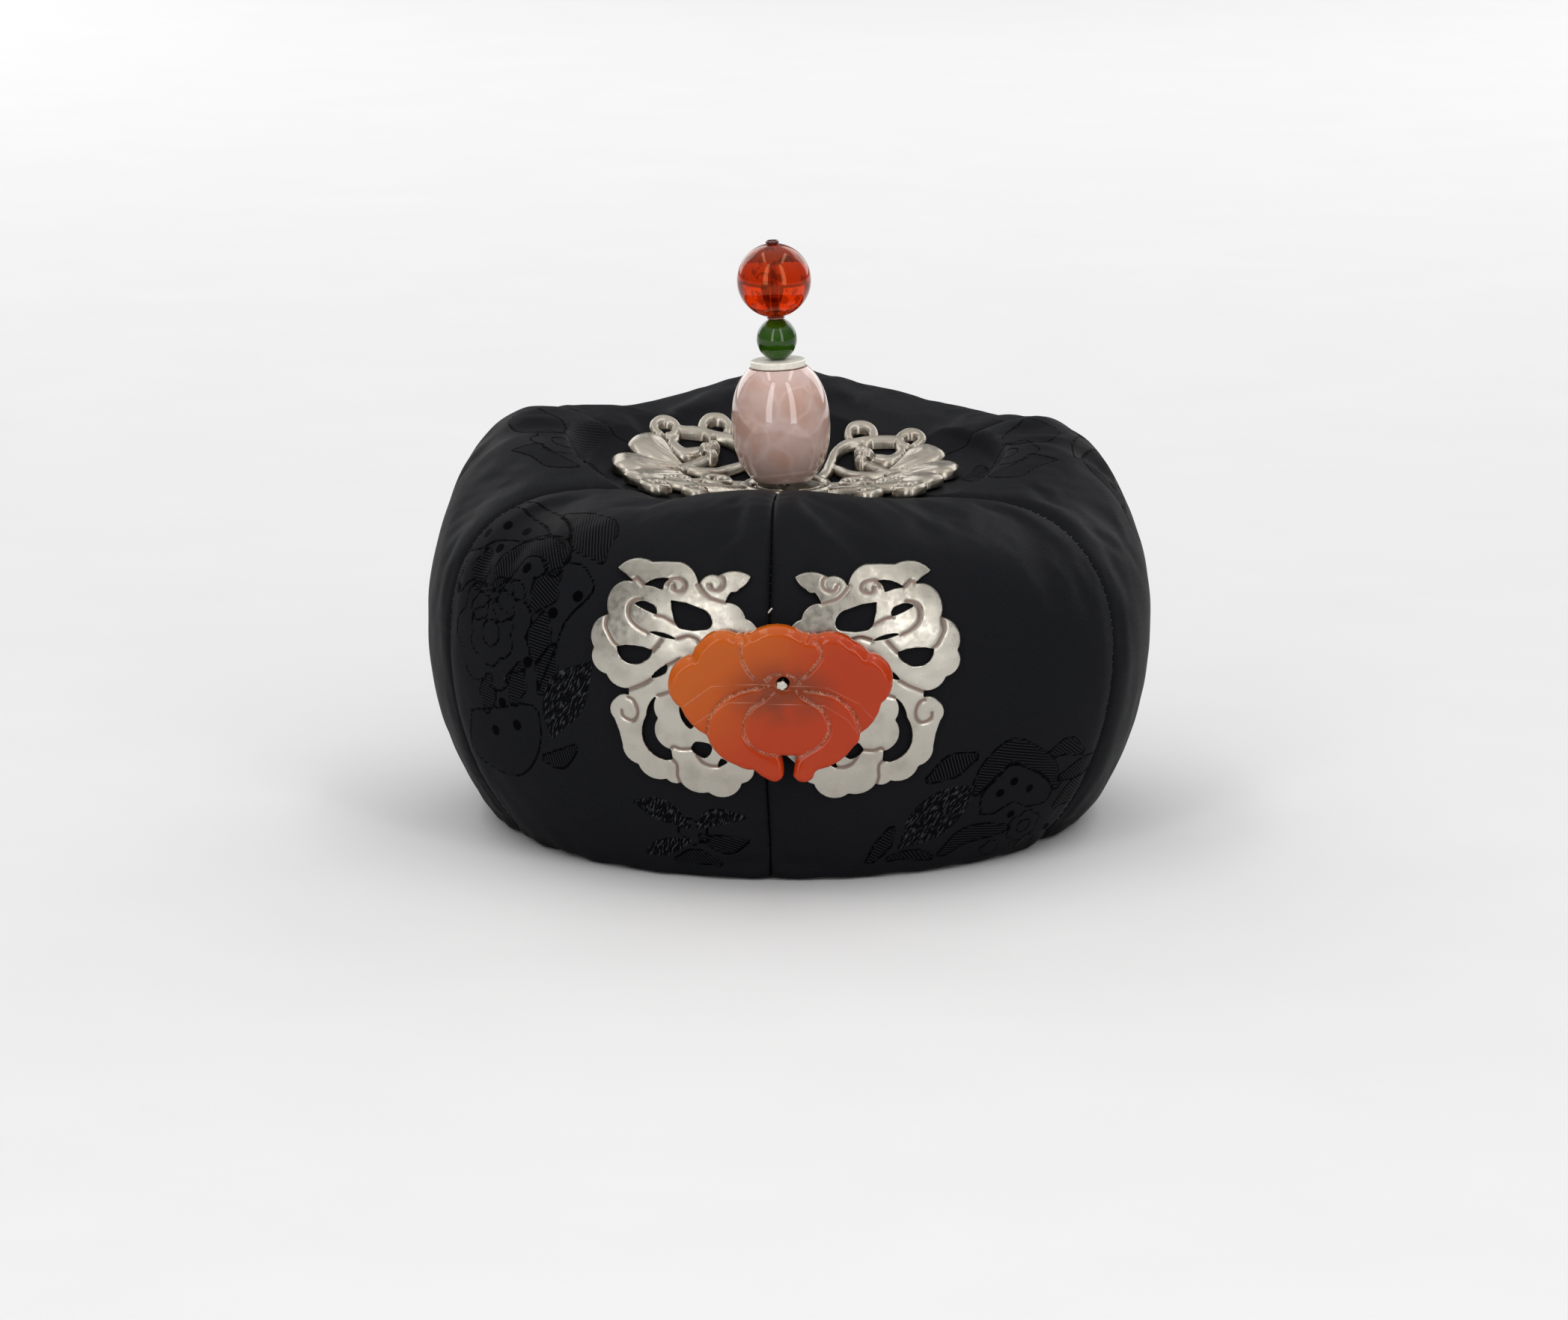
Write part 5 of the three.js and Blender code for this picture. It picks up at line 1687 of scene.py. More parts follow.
@dataclass(frozen=True)
class SeamStitches:
    """Small stitches of black thread that close the seams from outside."""

    pitch: float = 1.7
    length: float = 1.1
    thread_radius: float = 0.08
    sink: float = 0.95
    front_sink: float = 1.7
    arch: float = 0.16
    jitter: float = 0.3
    sides: int = 6
    first_travel: float = 0.12
    last_travel: float = 2.45
    top_travel: float = 1.6

    def lines(self) -> list[Array]:
        """The bottoms of the six seams, as places in metres."""
        travel = np.linspace(self.first_travel, self.last_travel, 220)
        found = []
        for azimuth in range(-180, 180, 60):
            radius, height = CAP.profile(CAP.meridian(azimuth), travel)
            turn = math.radians(CAP.sewn_azimuth(azimuth))
            slope_r, slope_z = np.gradient(radius), np.gradient(height)
            size = np.hypot(slope_r, slope_z)
            sink = self.sink if azimuth else self.front_sink
            r = radius - sink * slope_z / size
            z = height + sink * slope_r / size
            line = np.stack([r * math.sin(turn), -r * math.cos(turn), z], axis=1)
            limit = SEAT.pressed(line[:, 0], line[:, 1]) - sink
            line[:, 2] = np.where(travel > self.top_travel, np.minimum(line[:, 2], limit), line[:, 2])
            found.append(to_frame(line))
        return found

    def build(self, thread: Material) -> Piece:
        """Grows the stitches along the seams.

        Args:
            thread: their material.

        Returns:
            One piece with all the stitches.
        """
        tree = NodeTree("seam_stitches")
        pitch, length, radius = (tree.number(key) for key in ("Pitch", "Stitch Length", "Thread Radius"))
        seed = tree.number("Seed", whole=True)
        points = tree.node("GeometryNodeCurveToPoints", {"Curve": tree.base_line(pitch)}, mode="EVALUATED")
        end = tree.out("ShaderNodeCombineXYZ", {0: tree.math("MULTIPLY", length, 0.5)})
        start = tree.vector("SCALE", end, -1.0)
        middle = tree.out("ShaderNodeCombineXYZ", {2: tree.math("MULTIPLY", length, self.arch)})
        bow = tree.out(
            "GeometryNodeCurveQuadraticBezier",
            {"Resolution": self.sides, "Start": start, "Middle": middle, "End": end},
        )
        stitch = tree.tube(bow, radius, self.sides)
        tangent = points.outputs["Tangent"]
        along = tree.out("FunctionNodeAlignRotationToVector", {"Vector": tangent}, axis="Y")
        flat = tree.vector("MULTIPLY", tree.out("GeometryNodeInputPosition"), (1.0, 1.0, 0.35))
        upright = tree.out(
            "FunctionNodeAlignRotationToVector",
            {"Rotation": along, "Vector": flat},
            axis="Z",
            pivot_axis="Y",
        )
        spin = {2: -self.jitter, 3: self.jitter, "Seed": seed}
        jitter = tree.node("FunctionNodeRandomValue", spin, data_type="FLOAT").outputs[1]
        twist = tree.out("ShaderNodeCombineXYZ", {2: jitter})
        turned = tree.out("FunctionNodeRotateRotation", {0: upright, 1: twist}, rotation_space="LOCAL")
        placed = tree.out(
            "GeometryNodeInstanceOnPoints",
            {"Points": points.outputs["Points"], "Instance": stitch, "Rotation": turned},
        )
        tree.end(placed, thread)
        piece = tree.grow("seam_stitches", line_mesh("seam_lines", self.lines()), {
            "Pitch": self.pitch * MILLIMETRE,
            "Stitch Length": self.length * MILLIMETRE,
            "Thread Radius": self.thread_radius * MILLIMETRE,
            "Seed": 5,
        })
        finish_mesh(piece.data, 60.0)
        dress(piece, thread, "black_silk")
        return piece


# The cast top plate


class Ridge(NamedTuple):
    """A point on a stroke of relief: its place in plan, half width and rise."""

    x: float
    y: float
    half: float
    rise: float


@dataclass(frozen=True)
class Curl:
    """A ridge wound round a middle, from one angle to another in degrees, and how much longer it is
    from front to back than across."""

    x: float
    y: float
    radius: float
    half: float
    rise: float
    start: float = 0.0
    end: float = 360.0
    inner: float = 0.0
    stretch: float = 1.0

    def line(self) -> Array:
        """The ridge's rows, drawing in towards the inner radius where it has one."""
        steps = max(8, int(abs(self.end - self.start) / 12))
        share = np.linspace(0, 1, steps + 1)
        turn = np.radians(self.start + (self.end - self.start) * share)
        radius = self.radius + (self.inner - self.radius) * share if self.inner else self.radius
        rows = [self.x + radius * np.cos(turn), self.y + self.stretch * radius * np.sin(turn)]
        rows += [np.full(steps + 1, self.half), np.full(steps + 1, self.rise)]
        return np.stack(rows, axis=1)


# Share of a petal's length, and its half width there as a share of the largest
PETAL_WIDTHS = ((0.0, 0.16), (0.28, 0.52), (0.58, 0.96), (0.80, 0.92), (0.95, 0.50))


@dataclass(frozen=True)
class Petal:
    """A broad smooth lobe from its root to its blunt tip, with fine ribs near its root."""

    root: Point
    tip: Point
    half: float
    rise: float
    ribs: float = 2.5
    rib_depth: float = 0.3

    def outline(self) -> Array:
        """The lobe's closed outline in plan."""
        root = np.array(self.root)
        axis = np.array(self.tip) - root
        side = np.array([-axis[1], axis[0]]) / np.linalg.norm(axis) * self.half
        left = [root + along * axis + width * side for along, width in PETAL_WIDTHS]
        right = [root + along * axis - width * side for along, width in reversed(PETAL_WIDTHS)]
        return curve_through([*left, *right, left[0]], 4)[:-1]

    def relief(self, points: Array, edge_share: float) -> tuple[Array, Array]:
        """Reads the lobe at plan points.

        Args:
            points: plan points of one half of the plate.
            edge_share: height of the lobe's edge as a share of its rise.

        Returns:
            How far each point lies inside the outline, negative outside, and the upper face's height.
        """
        inside = -loop_distance(points, self.outline())
        out = 1 - np.clip(inside / self.half, 0, 1)
        raised = self.rise * (edge_share + (1 - edge_share) * np.sqrt(1 - out * out))
        fit = line_fit(points, np.array([(*self.root, 0.0), (*self.tip, 1.0)]))
        along = fit.values[:, 0]
        spread = fit.side / (self.half * (0.3 + along))
        groove = (0.5 - 0.5 * np.cos(2 * math.pi * self.ribs * spread)) ** 3
        return inside, raised - self.rib_depth * groove * np.clip(1.1 - 1.6 * along, 0, 1)


PLATE_PETALS = (
    Petal((22.4, 9.4), (33.0, 18.4), 4.5, 3.0),
    Petal((22.2, 7.0), (37.4, 5.0), 5.0, 3.2),
    Petal((22.0, 4.6), (32.6, -7.2), 4.3, 2.8),
)

# Ridges through their points, on the right half of the plate
PLATE_STROKES: tuple[tuple[Ridge, ...], ...] = (
    (Ridge(24.2, 22.8, 1.3, 2.2), Ridge(20.0, 22.9, 1.3, 2.4), Ridge(16.0, 22.4, 1.2, 2.4),
     Ridge(12.4, 21.4, 1.3, 2.4), Ridge(9.6, 18.8, 1.4, 2.4), Ridge(8.4, 15.0, 1.5, 2.2),
     Ridge(7.4, 11.0, 1.5, 2.0), Ridge(5.6, 7.0, 1.4, 1.8)),
    (Ridge(24.0, 21.0, 0.9, 2.0), Ridge(24.5, 17.8, 1.5, 2.5), Ridge(22.3, 15.4, 1.8, 2.6),
     Ridge(19.6, 16.2, 1.7, 2.4), Ridge(17.6, 18.2, 1.0, 1.8)),
    (Ridge(16.6, 15.6, 1.3, 2.0), Ridge(18.6, 12.6, 1.4, 2.2), Ridge(20.8, 10.2, 1.4, 2.2),
     Ridge(23.4, 7.6, 1.8, 2.2)),
    (Ridge(21.4, 9.2, 1.1, 1.9), Ridge(17.6, 8.4, 1.4, 2.2), Ridge(14.2, 9.2, 1.4, 2.2),
     Ridge(11.6, 11.6, 1.3, 2.0), Ridge(9.0, 14.0, 1.0, 1.6)),
    (Ridge(26.0, -4.6, 1.3, 2.3), Ridge(21.6, -5.6, 1.7, 2.6), Ridge(17.0, -5.4, 1.8, 2.6),
     Ridge(12.6, -4.2, 1.6, 2.4), Ridge(7.8, -3.4, 1.4, 2.0)),
    (Ridge(20.8, 0.6, 1.0, 2.2), Ridge(18.6, 1.0, 1.2, 2.2), Ridge(16.4, 2.2, 1.0, 2.2)),
    (Ridge(27.4, -8.0, 1.5, 2.6), Ridge(26.4, -6.0, 1.6, 2.6), Ridge(24.0, -4.6, 1.4, 2.5)),
    (Ridge(18.8, -9.4, 1.3, 2.5), Ridge(18.6, -7.6, 1.4, 2.5), Ridge(18.0, -5.6, 1.3, 2.5)),
    (Ridge(22.8, 1.6, 1.1, 2.0), Ridge(23.4, 4.2, 1.2, 2.0), Ridge(23.2, 7.0, 1.1, 1.8)),
    (Ridge(12.6, 2.6, 1.2, 2.0), Ridge(10.2, 2.4, 1.3, 1.9), Ridge(5.0, 2.2, 1.3, 1.8)),
    (Ridge(0.0, -5.4, 1.2, 1.9), Ridge(0.0, -8.6, 1.2, 1.9)),
    (Ridge(0.0, 5.4, 1.2, 1.9), Ridge(0.0, 8.6, 1.2, 1.9)),
)

PLATE_CURLS = (
    Curl(26.4, 22.6, 2.4, 1.2, 2.4, 250, -60),
    Curl(15.6, 24.4, 2.8, 1.2, 2.4, -70, 200),
    Curl(22.2, -1.4, 3.5, 0.85, 2.9, 60, -500, 0.6, 1.15),
    Curl(14.6, 3.0, 2.6, 1.1, 2.3),
    Curl(26.6, -10.2, 2.5, 1.5, 2.7, 130, -150, stretch=1.5),
    Curl(18.0, -11.0, 2.1, 1.4, 2.6, 120, -140, stretch=1.4),
)


@dataclass(frozen=True)
class TopPlate:
    """The cast openwork plate: rounded ridges, ribbed petals, knobs and a ringed centre."""

    step: float = 0.25
    reach: Point = (39.5, 31.0)
    front: float = -15.5
    edge_share: float = 0.36
    ridge_width: float = 0.88
    ridge_rise: float = 0.76
    drawn_in: float = 0.035
    shift: float = -1.0
    valley_reach: int = 3
    valley_depth: float = 0.35
    knobs: tuple[Ridge, ...] = (
        Ridge(17.4, 16.4, 1.5, 3.1),
        Ridge(15.8, 17.8, 1.4, 2.9),
        Ridge(16.0, 14.6, 1.4, 2.9),
    )
    knob_shoulder: float = 0.45
    disc_radius: float = 6.6
    disc_rise: float = 1.6
    ring_radius: float = 8.6
    ring_half: float = 1.1
    ring_rise: float = 2.3
    bore_x: float = -1.1
    bore_radius: float = 1.4

    def survey(self, points: Array) -> tuple[Array, Array]:
        """Reads the relief at plan points.

        Args:
            points: plan points of the whole plate.

        Returns:
            The signed distance to the plate's outline, and the height of its upper face.
        """
        half = np.stack([np.abs(points[:, 0]), points[:, 1]], axis=1)
        edge = np.hypot(points[:, 0], points[:, 1]) - self.disc_radius
        height = np.where(edge < 0, self.disc_rise, 0.0)
        for petal in PLATE_PETALS:
            inside, raised = petal.relief(half, self.edge_share)
            height = np.where(inside > 0, np.maximum(height, raised), height)
            edge = np.minimum(edge, -inside)
        lines = [curve_through(stroke, 6) for stroke in PLATE_STROKES]
        lines += [curl.line() for curl in PLATE_CURLS]
        turn = np.linspace(0, 2 * math.pi, 61)
        ring = np.stack([self.ring_radius * np.cos(turn), self.ring_radius * np.sin(turn)], axis=1)
        ring = np.hstack([ring, np.tile([self.ring_half, self.ring_rise], (len(turn), 1))])
        for line in [*lines, ring]:
            fit = line_fit(points if line is ring else half, line)
            width, rise = fit.values[:, 0] * self.ridge_width, fit.values[:, 1] * self.ridge_rise
            out = fit.distance / width
            crown = np.sqrt(np.clip(1 - out ** 3, 0, 1))
            raised = rise * (self.edge_share + (1 - self.edge_share) * crown)
            height = np.where(out < 1, np.maximum(height, raised), height)
            edge = np.minimum(edge, fit.distance - width)
        for knob in self.knobs:
            distance = np.hypot(half[:, 0] - knob.x, half[:, 1] - knob.y)
            crown = np.sqrt(np.clip(1 - (distance / knob.half) ** 2, 0, 1))
            dome = knob.rise * (self.knob_shoulder + (1 - self.knob_shoulder) * crown)
            height = np.where(distance < knob.half, np.maximum(height, dome), height)
            edge = np.minimum(edge, distance - knob.half)
        bore = self.bore_radius - np.hypot(points[:, 0] - self.bore_x, points[:, 1])
        return np.maximum(edge, bore), height

    def place(self, points: Array, heights: Array) -> Array:
        """Bends the flat plate to its dished seat, with its wings a little drawn in and to the left."""
        wing = smooth((np.abs(points[:, 0]) - 6.0) / 8.0)
        x = points[:, 0] * (1 - self.drawn_in * wing) + self.shift * wing
        y = points[:, 1]
        return np.stack([x, y, SEAT.underside(x, y) + heights], axis=1)

    def valleys(self, points: Array) -> Array:
        """How deep each plan point lies between higher ones near it, from 0 to 1.

        Args:
            points: plan points of the plate.

        Returns:
            The share for each point.
        """
        spacing = 0.4
        across = np.arange(-self.reach[0] - 2, self.reach[0] + 2, spacing)
        up = np.arange(self.front - 2, self.reach[1] + 2, spacing)
        lattice = np.stack(np.meshgrid(across, up, indexing="ij"), axis=-1).reshape(-1, 2)
        edge, height = self.survey(lattice)
        grid = np.where(edge < 0, height, 0.6).reshape(len(across), len(up))
        around = grid.copy()
        for axis in (0, 1):
            turns = range(-self.valley_reach, self.valley_reach + 1)
            around = np.mean([np.roll(around, turn, axis=axis) for turn in turns], axis=0)
        dip = np.clip((around - grid) / self.valley_depth, 0, 1)
        i = np.rint((points[:, 0] - across[0]) / spacing).astype(int)
        j = np.rint((points[:, 1] - up[0]) / spacing).astype(int)
        return dip[i, j]

    def build(self, silver: Material) -> Piece:
        """Makes the plate.

        Args:
            silver: its material.

        Returns:
            The finished piece.
        """
        low = (-self.reach[0], self.front)
        sheet = cut_sheet(low, self.reach, self.step, lambda points: self.survey(points)[0])
        edge, height = self.survey(sheet.points)
        rim_height = self.survey(sheet.points[sheet.rim] + 0.15 * sheet.inward)[1]
        height[sheet.rim] = np.maximum(height[sheet.rim], rim_height)
        broad = height + ripple(sheet.points, 3.4, 8) * 0.05
        cut_edge = 0.35 * (edge > -0.15) * (ripple(sheet.points, 2.0, 4) > 0.6)
        values = {"recess": np.clip(self.valleys(sheet.points) * (edge < -0.3) + cut_edge, 0, 1)}
        piece = mesh_piece("top_plate", slab(sheet, broad, self.place, 0.14, values), 55.0)
        dress(piece, silver, "cast_silver", "top_plate")
        return piece


# The pierced front plate


PLATE_EDGE = (
    Corner(0, 51, 0), Corner(3.5, 53.2, 0.3), Corner(5.6, 54.8, 1.0), Corner(9.6, 57.8, -0.2),
    Corner(8.4, 59.9, 0.3), Corner(6.8, 60.5, 0.3), Corner(4.7, 62.8, 0.9), Corner(11.0, 62.6, 0.9),
    Corner(14.9, 60.8, 0.9), Corner(18.5, 64.7, 0.1), Corner(24.0, 64.4, 1.1), Corner(31.0, 62.9, -0.2),
    Corner(27.8, 60.8, 2.4), Corner(32.6, 54.2, 1.9), Corner(35.6, 47.7, 1.5), Corner(33.1, 42.6, 0.9),
    Corner(28.7, 40.1, 0), Corner(28.6, 38.7, 0.5), Corner(31.4, 37.8, 0.9), Corner(31.6, 33.8, -0.2),
    Corner(30.0, 28.6, 0.9), Corner(26.9, 24.7, 1.3), Corner(21.3, 22.0, 0.5), Corner(18.4, 21.4, 0.9),
    Corner(13.0, 19.6, 1.9), Corner(6.4, 21.8, 0.9), Corner(4.0, 25.2, 0), Corner(0, 30, 0),
)

PLATE_HOLES = (
    (Corner(25.8, 60.3, -0.2), Corner(22.0, 59.6, -0.4), Corner(20.5, 61.8, 0.6)),
    (Corner(20.3, 57.8, 0.2), Corner(19.6, 54.1, 0.3), Corner(18.3, 52.5, 0.3), Corner(13.5, 52.5, 0.5),
     Corner(12.2, 54.3, 0.5), Corner(14.5, 56.6, 0.3)),
    (Corner(27.6, 56.7, 0.1), Corner(23.2, 54.9, 0.6), Corner(24.4, 57.0, 0.5)),
    (Corner(24.9, 51.6, 0.3), Corner(18.9, 50.3, 0.6)),
    (Corner(31.0, 48.2, 0.9), Corner(28.0, 45.0, 0.3), Corner(25.6, 45.7, 0.4), Corner(24.0, 48.0, 0.2),
     Corner(27.5, 48.7, 0.2)),
    (Corner(24.4, 42.4, 0.2), Corner(21.5, 43.5, 0.3), Corner(21.1, 45.4, 0.3)),
    (Corner(22.9, 39.2, 0.6), Corner(25.2, 34.9, 0.5), Corner(25.9, 29.8, 0.8), Corner(21.5, 25.9, 0),
     Corner(20.0, 26.1, 0), Corner(20.3, 28.2, -1.8), Corner(22.9, 34.5, -0.8)),
    (Corner(18.6, 37.2, 0.7), Corner(16.4, 32.6, 0.3), Corner(15.0, 35.5, 0.3)),
    (Corner(16.4, 28.7, 0.4), Corner(13.6, 26.8, 0.3), Corner(12.2, 28.8, 0.3), Corner(13.2, 29.9, 0.1),
     Corner(15.5, 30.1, 0.1)),
    (Corner(11.1, 25.0, 0.1), Corner(9.1, 26.1, 0.1), Corner(10.4, 26.9, 0.2)),
)

# Lines cut into the left wing with a graver, out from the middle line and up from the table
PLATE_CUTS: tuple[tuple[Point, ...], ...] = (
    ((21.1, 60.6), (20.8, 61.2), (20.0, 61.8), (18.7, 61.8), (17.8, 61.2), (17.6, 60.4), (18.2, 59.7),
     (19.1, 59.5), (19.9, 59.9), (20.0, 60.6)),
    ((11.0, 62.8), (10.3, 62.4), (10.0, 61.4), (10.4, 60.5), (11.4, 60.0), (12.4, 60.3), (12.8, 61.0)),
    ((15.0, 60.8), (14.0, 59.6), (12.7, 58.6), (11.4, 58.2), (9.8, 57.8)),
    ((26.3, 57.7), (27.7, 57.3), (28.6, 56.3), (28.7, 54.7), (28.1, 53.4), (26.7, 52.2), (25.0, 51.4)),
    ((23.2, 54.8), (21.9, 54.6), (20.6, 54.0), (19.4, 53.4)),
    ((33.0, 54.0), (33.2, 52.1), (32.6, 50.6), (31.6, 49.0), (30.8, 48.4)),
    ((22.1, 50.2), (22.9, 49.2), (24.0, 48.0)),
    ((18.9, 50.5), (16.9, 51.1), (15.3, 50.7), (14.6, 50.1)),
    ((28.6, 39.9), (26.2, 41.0), (24.9, 41.8), (24.2, 42.3)),
    ((21.1, 45.2), (19.6, 45.9), (18.4, 46.4)),
    ((22.9, 39.1), (21.2, 39.7), (19.8, 40.2)),
    ((28.8, 38.3), (27.7, 37.7), (27.0, 36.2), (27.0, 34.7), (27.8, 33.7), (28.9, 33.8), (29.9, 34.5),
     (30.1, 35.5)),
    ((20.3, 28.5), (19.7, 28.8), (18.3, 28.4), (16.3, 28.6)),
    ((20.0, 26.1), (19.3, 25.3), (19.1, 24.2), (19.1, 22.8), (18.6, 21.3)),
    ((15.2, 27.2), (14.1, 25.9), (12.4, 25.2), (11.0, 25.2)),
    ((28.0, 61.0), (27.2, 61.3), (26.0, 60.4)),
)


@dataclass(frozen=True)
class FrontPlate:
    """The sheet silver plate, pierced and engraved, and bent to the front of the cap."""

    step: float = 0.25
    reach: Point = (38.0, 68.5)
    foot: float = 16.0
    stand_off: float = 0.5
    thickness: float = 1.0
    middle: float = -0.4
    wing_slant: float = 0.05
    slant_middle: float = 48.0
    cut_half: float = 0.36
    cut_depth: float = 0.26
    stitch_hole: tuple[float, float, float] = (1.7, 42.6, 1.3)

    def other_wing(self, points: Array) -> Array:
        """Turns points of the left wing over to the right one, which slants outwards to its foot."""
        x, z = points.T
        return np.stack([-x - self.wing_slant * (z - self.slant_middle), z], axis=1)

    def loops(self) -> tuple[Array, list[Array]]:
        """The plate's outline and its holes."""
        left = closed_outline([Corner(-c.across, c.up, c.bow) for c in PLATE_EDGE[:-1]])
        start, half = left[:1], left[1:]
        foot = np.array([[PLATE_EDGE[-1].across, PLATE_EDGE[-1].up]])
        edge = np.vstack([start, half, foot, self.other_wing(half)[::-1]])
        holes = [closed_outline([Corner(-c.across, c.up, c.bow) for c in hole]) for hole in PLATE_HOLES]
        holes += [self.other_wing(hole) for hole in holes]
        x, z, radius = self.stitch_hole
        turn = np.linspace(0, 2 * math.pi, 40, endpoint=False)
        holes.append(np.stack([x + radius * np.cos(turn), z + radius * np.sin(turn)], axis=1))
        return edge, holes

    def place(self, points: Array, heights: Array) -> Array:
        """Bends the flat plate round the cap."""
        x = points[:, 0] + self.middle
        z = points[:, 1]
        radius = self.radii(x, z) + self.stand_off + heights
        return np.stack([x, -np.sqrt(radius * radius - x * x), z], axis=1)

    def radii(self, x: Array, z: Array) -> Array:
        """Radius of the cap behind the plate, read from a coarse table for speed.

        Args:
            x: places across the plate.
            z: heights, of the same shape.

        Returns:
            The radius at each place, in millimetres.
        """
        step_x, step_z = 2.0, 1.0
        table_x = np.arange(-42.0, 43.0, step_x)
        table_z = np.arange(12.0, 71.0, step_z)
        table = np.array([[CAP.front_radius(tx, tz) for tz in table_z] for tx in table_x])
        i = np.clip((x - table_x[0]) / step_x, 0, len(table_x) - 1.001)
        j = np.clip((z - table_z[0]) / step_z, 0, len(table_z) - 1.001)
        i0, j0 = i.astype(int), j.astype(int)
        fi, fj = i - i0, j - j0
        low = table[i0, j0] * (1 - fj) + table[i0, j0 + 1] * fj
        high = table[i0 + 1, j0] * (1 - fj) + table[i0 + 1, j0 + 1] * fj
        return low * (1 - fi) + high * fi

    def build(self, silver: Material) -> Piece:
        """Makes the plate.

        Args:
            silver: its material.

        Returns:
            The finished piece.
        """
        edge, holes = self.loops()

        def field(points: Array) -> Array:
            """Signed distance to the pierced outline."""
            level = loop_distance(points, edge)
            for hole in holes:
                near = np.hypot(*(points - hole.mean(axis=0)).T) < 9.0
                level[near] = np.maximum(level[near], -loop_distance(points[near], hole))
            return level

        sheet = cut_sheet((-self.reach[0], self.foot), self.reach, self.step, field)
        left = [curve_through([(-out, up) for out, up in cut], 5) for cut in PLATE_CUTS]
        cuts = left + [self.other_wing(cut) for cut in left]
        near_cut = np.full(len(sheet.points), FAR)
        for cut in cuts:
            near_cut = np.minimum(near_cut, line_fit(sheet.points, cut).distance)
        groove = np.exp(-((near_cut / self.cut_half) ** 2))
        uneven = 0.03 * ripple(sheet.points, 9.0, 3) + 0.008 * ripple(sheet.points, 3.0, 5)
        height = self.thickness - self.cut_depth * groove + uneven
        solid = slab(sheet, height, self.place, 0.1, {"recess": np.clip(groove * 1.15, 0, 1)})
        piece = mesh_piece("front_plate", solid, 50.0)
        dress(piece, silver, "sheet_silver", "front_plate")
        return piece


# The carnelian butterfly


BUTTERFLY_EDGE = (
    Corner(-5.0, 52.7, 0.35), Corner(-6.2, 52.2, 0.35), Corner(-7.6, 52.4, 1.4), Corner(-14.6, 51.0, 0.3),
    Corner(-16.2, 48.3, 0.1), Corner(-17.4, 48.0, 3.0),
    Corner(-18.4, 38.4, 0.7), Corner(-13.3, 32.8, 1.0), Corner(-7.6, 27.0, 0.3), Corner(-4.2, 26.1, 0.2),
    Corner(-1.0, 24.0, 0.8), Corner(1.6, 25.4, 0.2), Corner(0.9, 29.0, 0), Corner(4.4, 29.0, 0.2),
    Corner(3.5, 25.0, 1.2), Corner(7.4, 24.8, -0.2), Corner(8.3, 26.2, 0.9), Corner(15.3, 31.0, 0.4),
    Corner(16.4, 33.4, 0.8), Corner(20.6, 39.6, 3.4), Corner(18.0, 49.0, 0.3), Corner(15.1, 51.2, 1.1),
    Corner(8.0, 52.4, 0.35), Corner(6.7, 52.2, 0.35), Corner(5.4, 52.7, 1.7),
)


class CarvedLine(NamedTuple):
    """A carved line of the stone: its points, and how much lower the stone lies to its right."""

    points: tuple[Point, ...]
    drop: float
    slope: float = 2.4


CARVED_LINES = (
    CarvedLine(((-6.6, 51.4), (-6.7, 49.3), (-5.6, 46.3), (-3.9, 44.2)), 0.35),
    CarvedLine(((4.6, 44.2), (6.5, 45.6), (8.8, 48.7), (8.5, 50.7), (7.4, 51.6)), 0.35),
    CarvedLine(((-3.6, 42.3), (-7.0, 41.5), (-10.3, 39.8), (-12.6, 36.7), (-13.3, 33.3)), 0.5),
    CarvedLine(((16.5, 34.0), (15.1, 37.7), (12.1, 40.5), (8.8, 41.5), (6.0, 41.8)), 0.5),
    CarvedLine(((-2.2, 40.1), (-4.9, 38.1), (-6.2, 34.7), (-5.2, 31.6), (-2.2, 29.5), (0.8, 28.9)), 0.4),
    CarvedLine(((4.9, 28.7), (6.1, 29.5), (9.1, 31.6), (10.5, 34.7), (9.1, 38.1), (5.5, 40.5)), 0.4),
    CarvedLine(((-2.0, 44.0), (-0.6, 45.0), (0.9, 45.1)), 0.15, 1.0),
    CarvedLine(((2.4, 45.1), (4.0, 44.4), (4.8, 43.4)), 0.15, 1.0),
)

CRACKS: tuple[tuple[Point, ...], ...] = (
    ((-18.0, 38.6), (-12.4, 42.8), (-3.4, 43.1), (10.0, 42.6), (16.4, 39.4), (19.2, 36.4)),
    ((-9.0, 39.6), (2.0, 39.3), (9.6, 39.0), (14.2, 36.2), (16.2, 33.4)),
    ((-16.6, 34.6), (-12.2, 37.6), (-9.0, 39.6)),
)


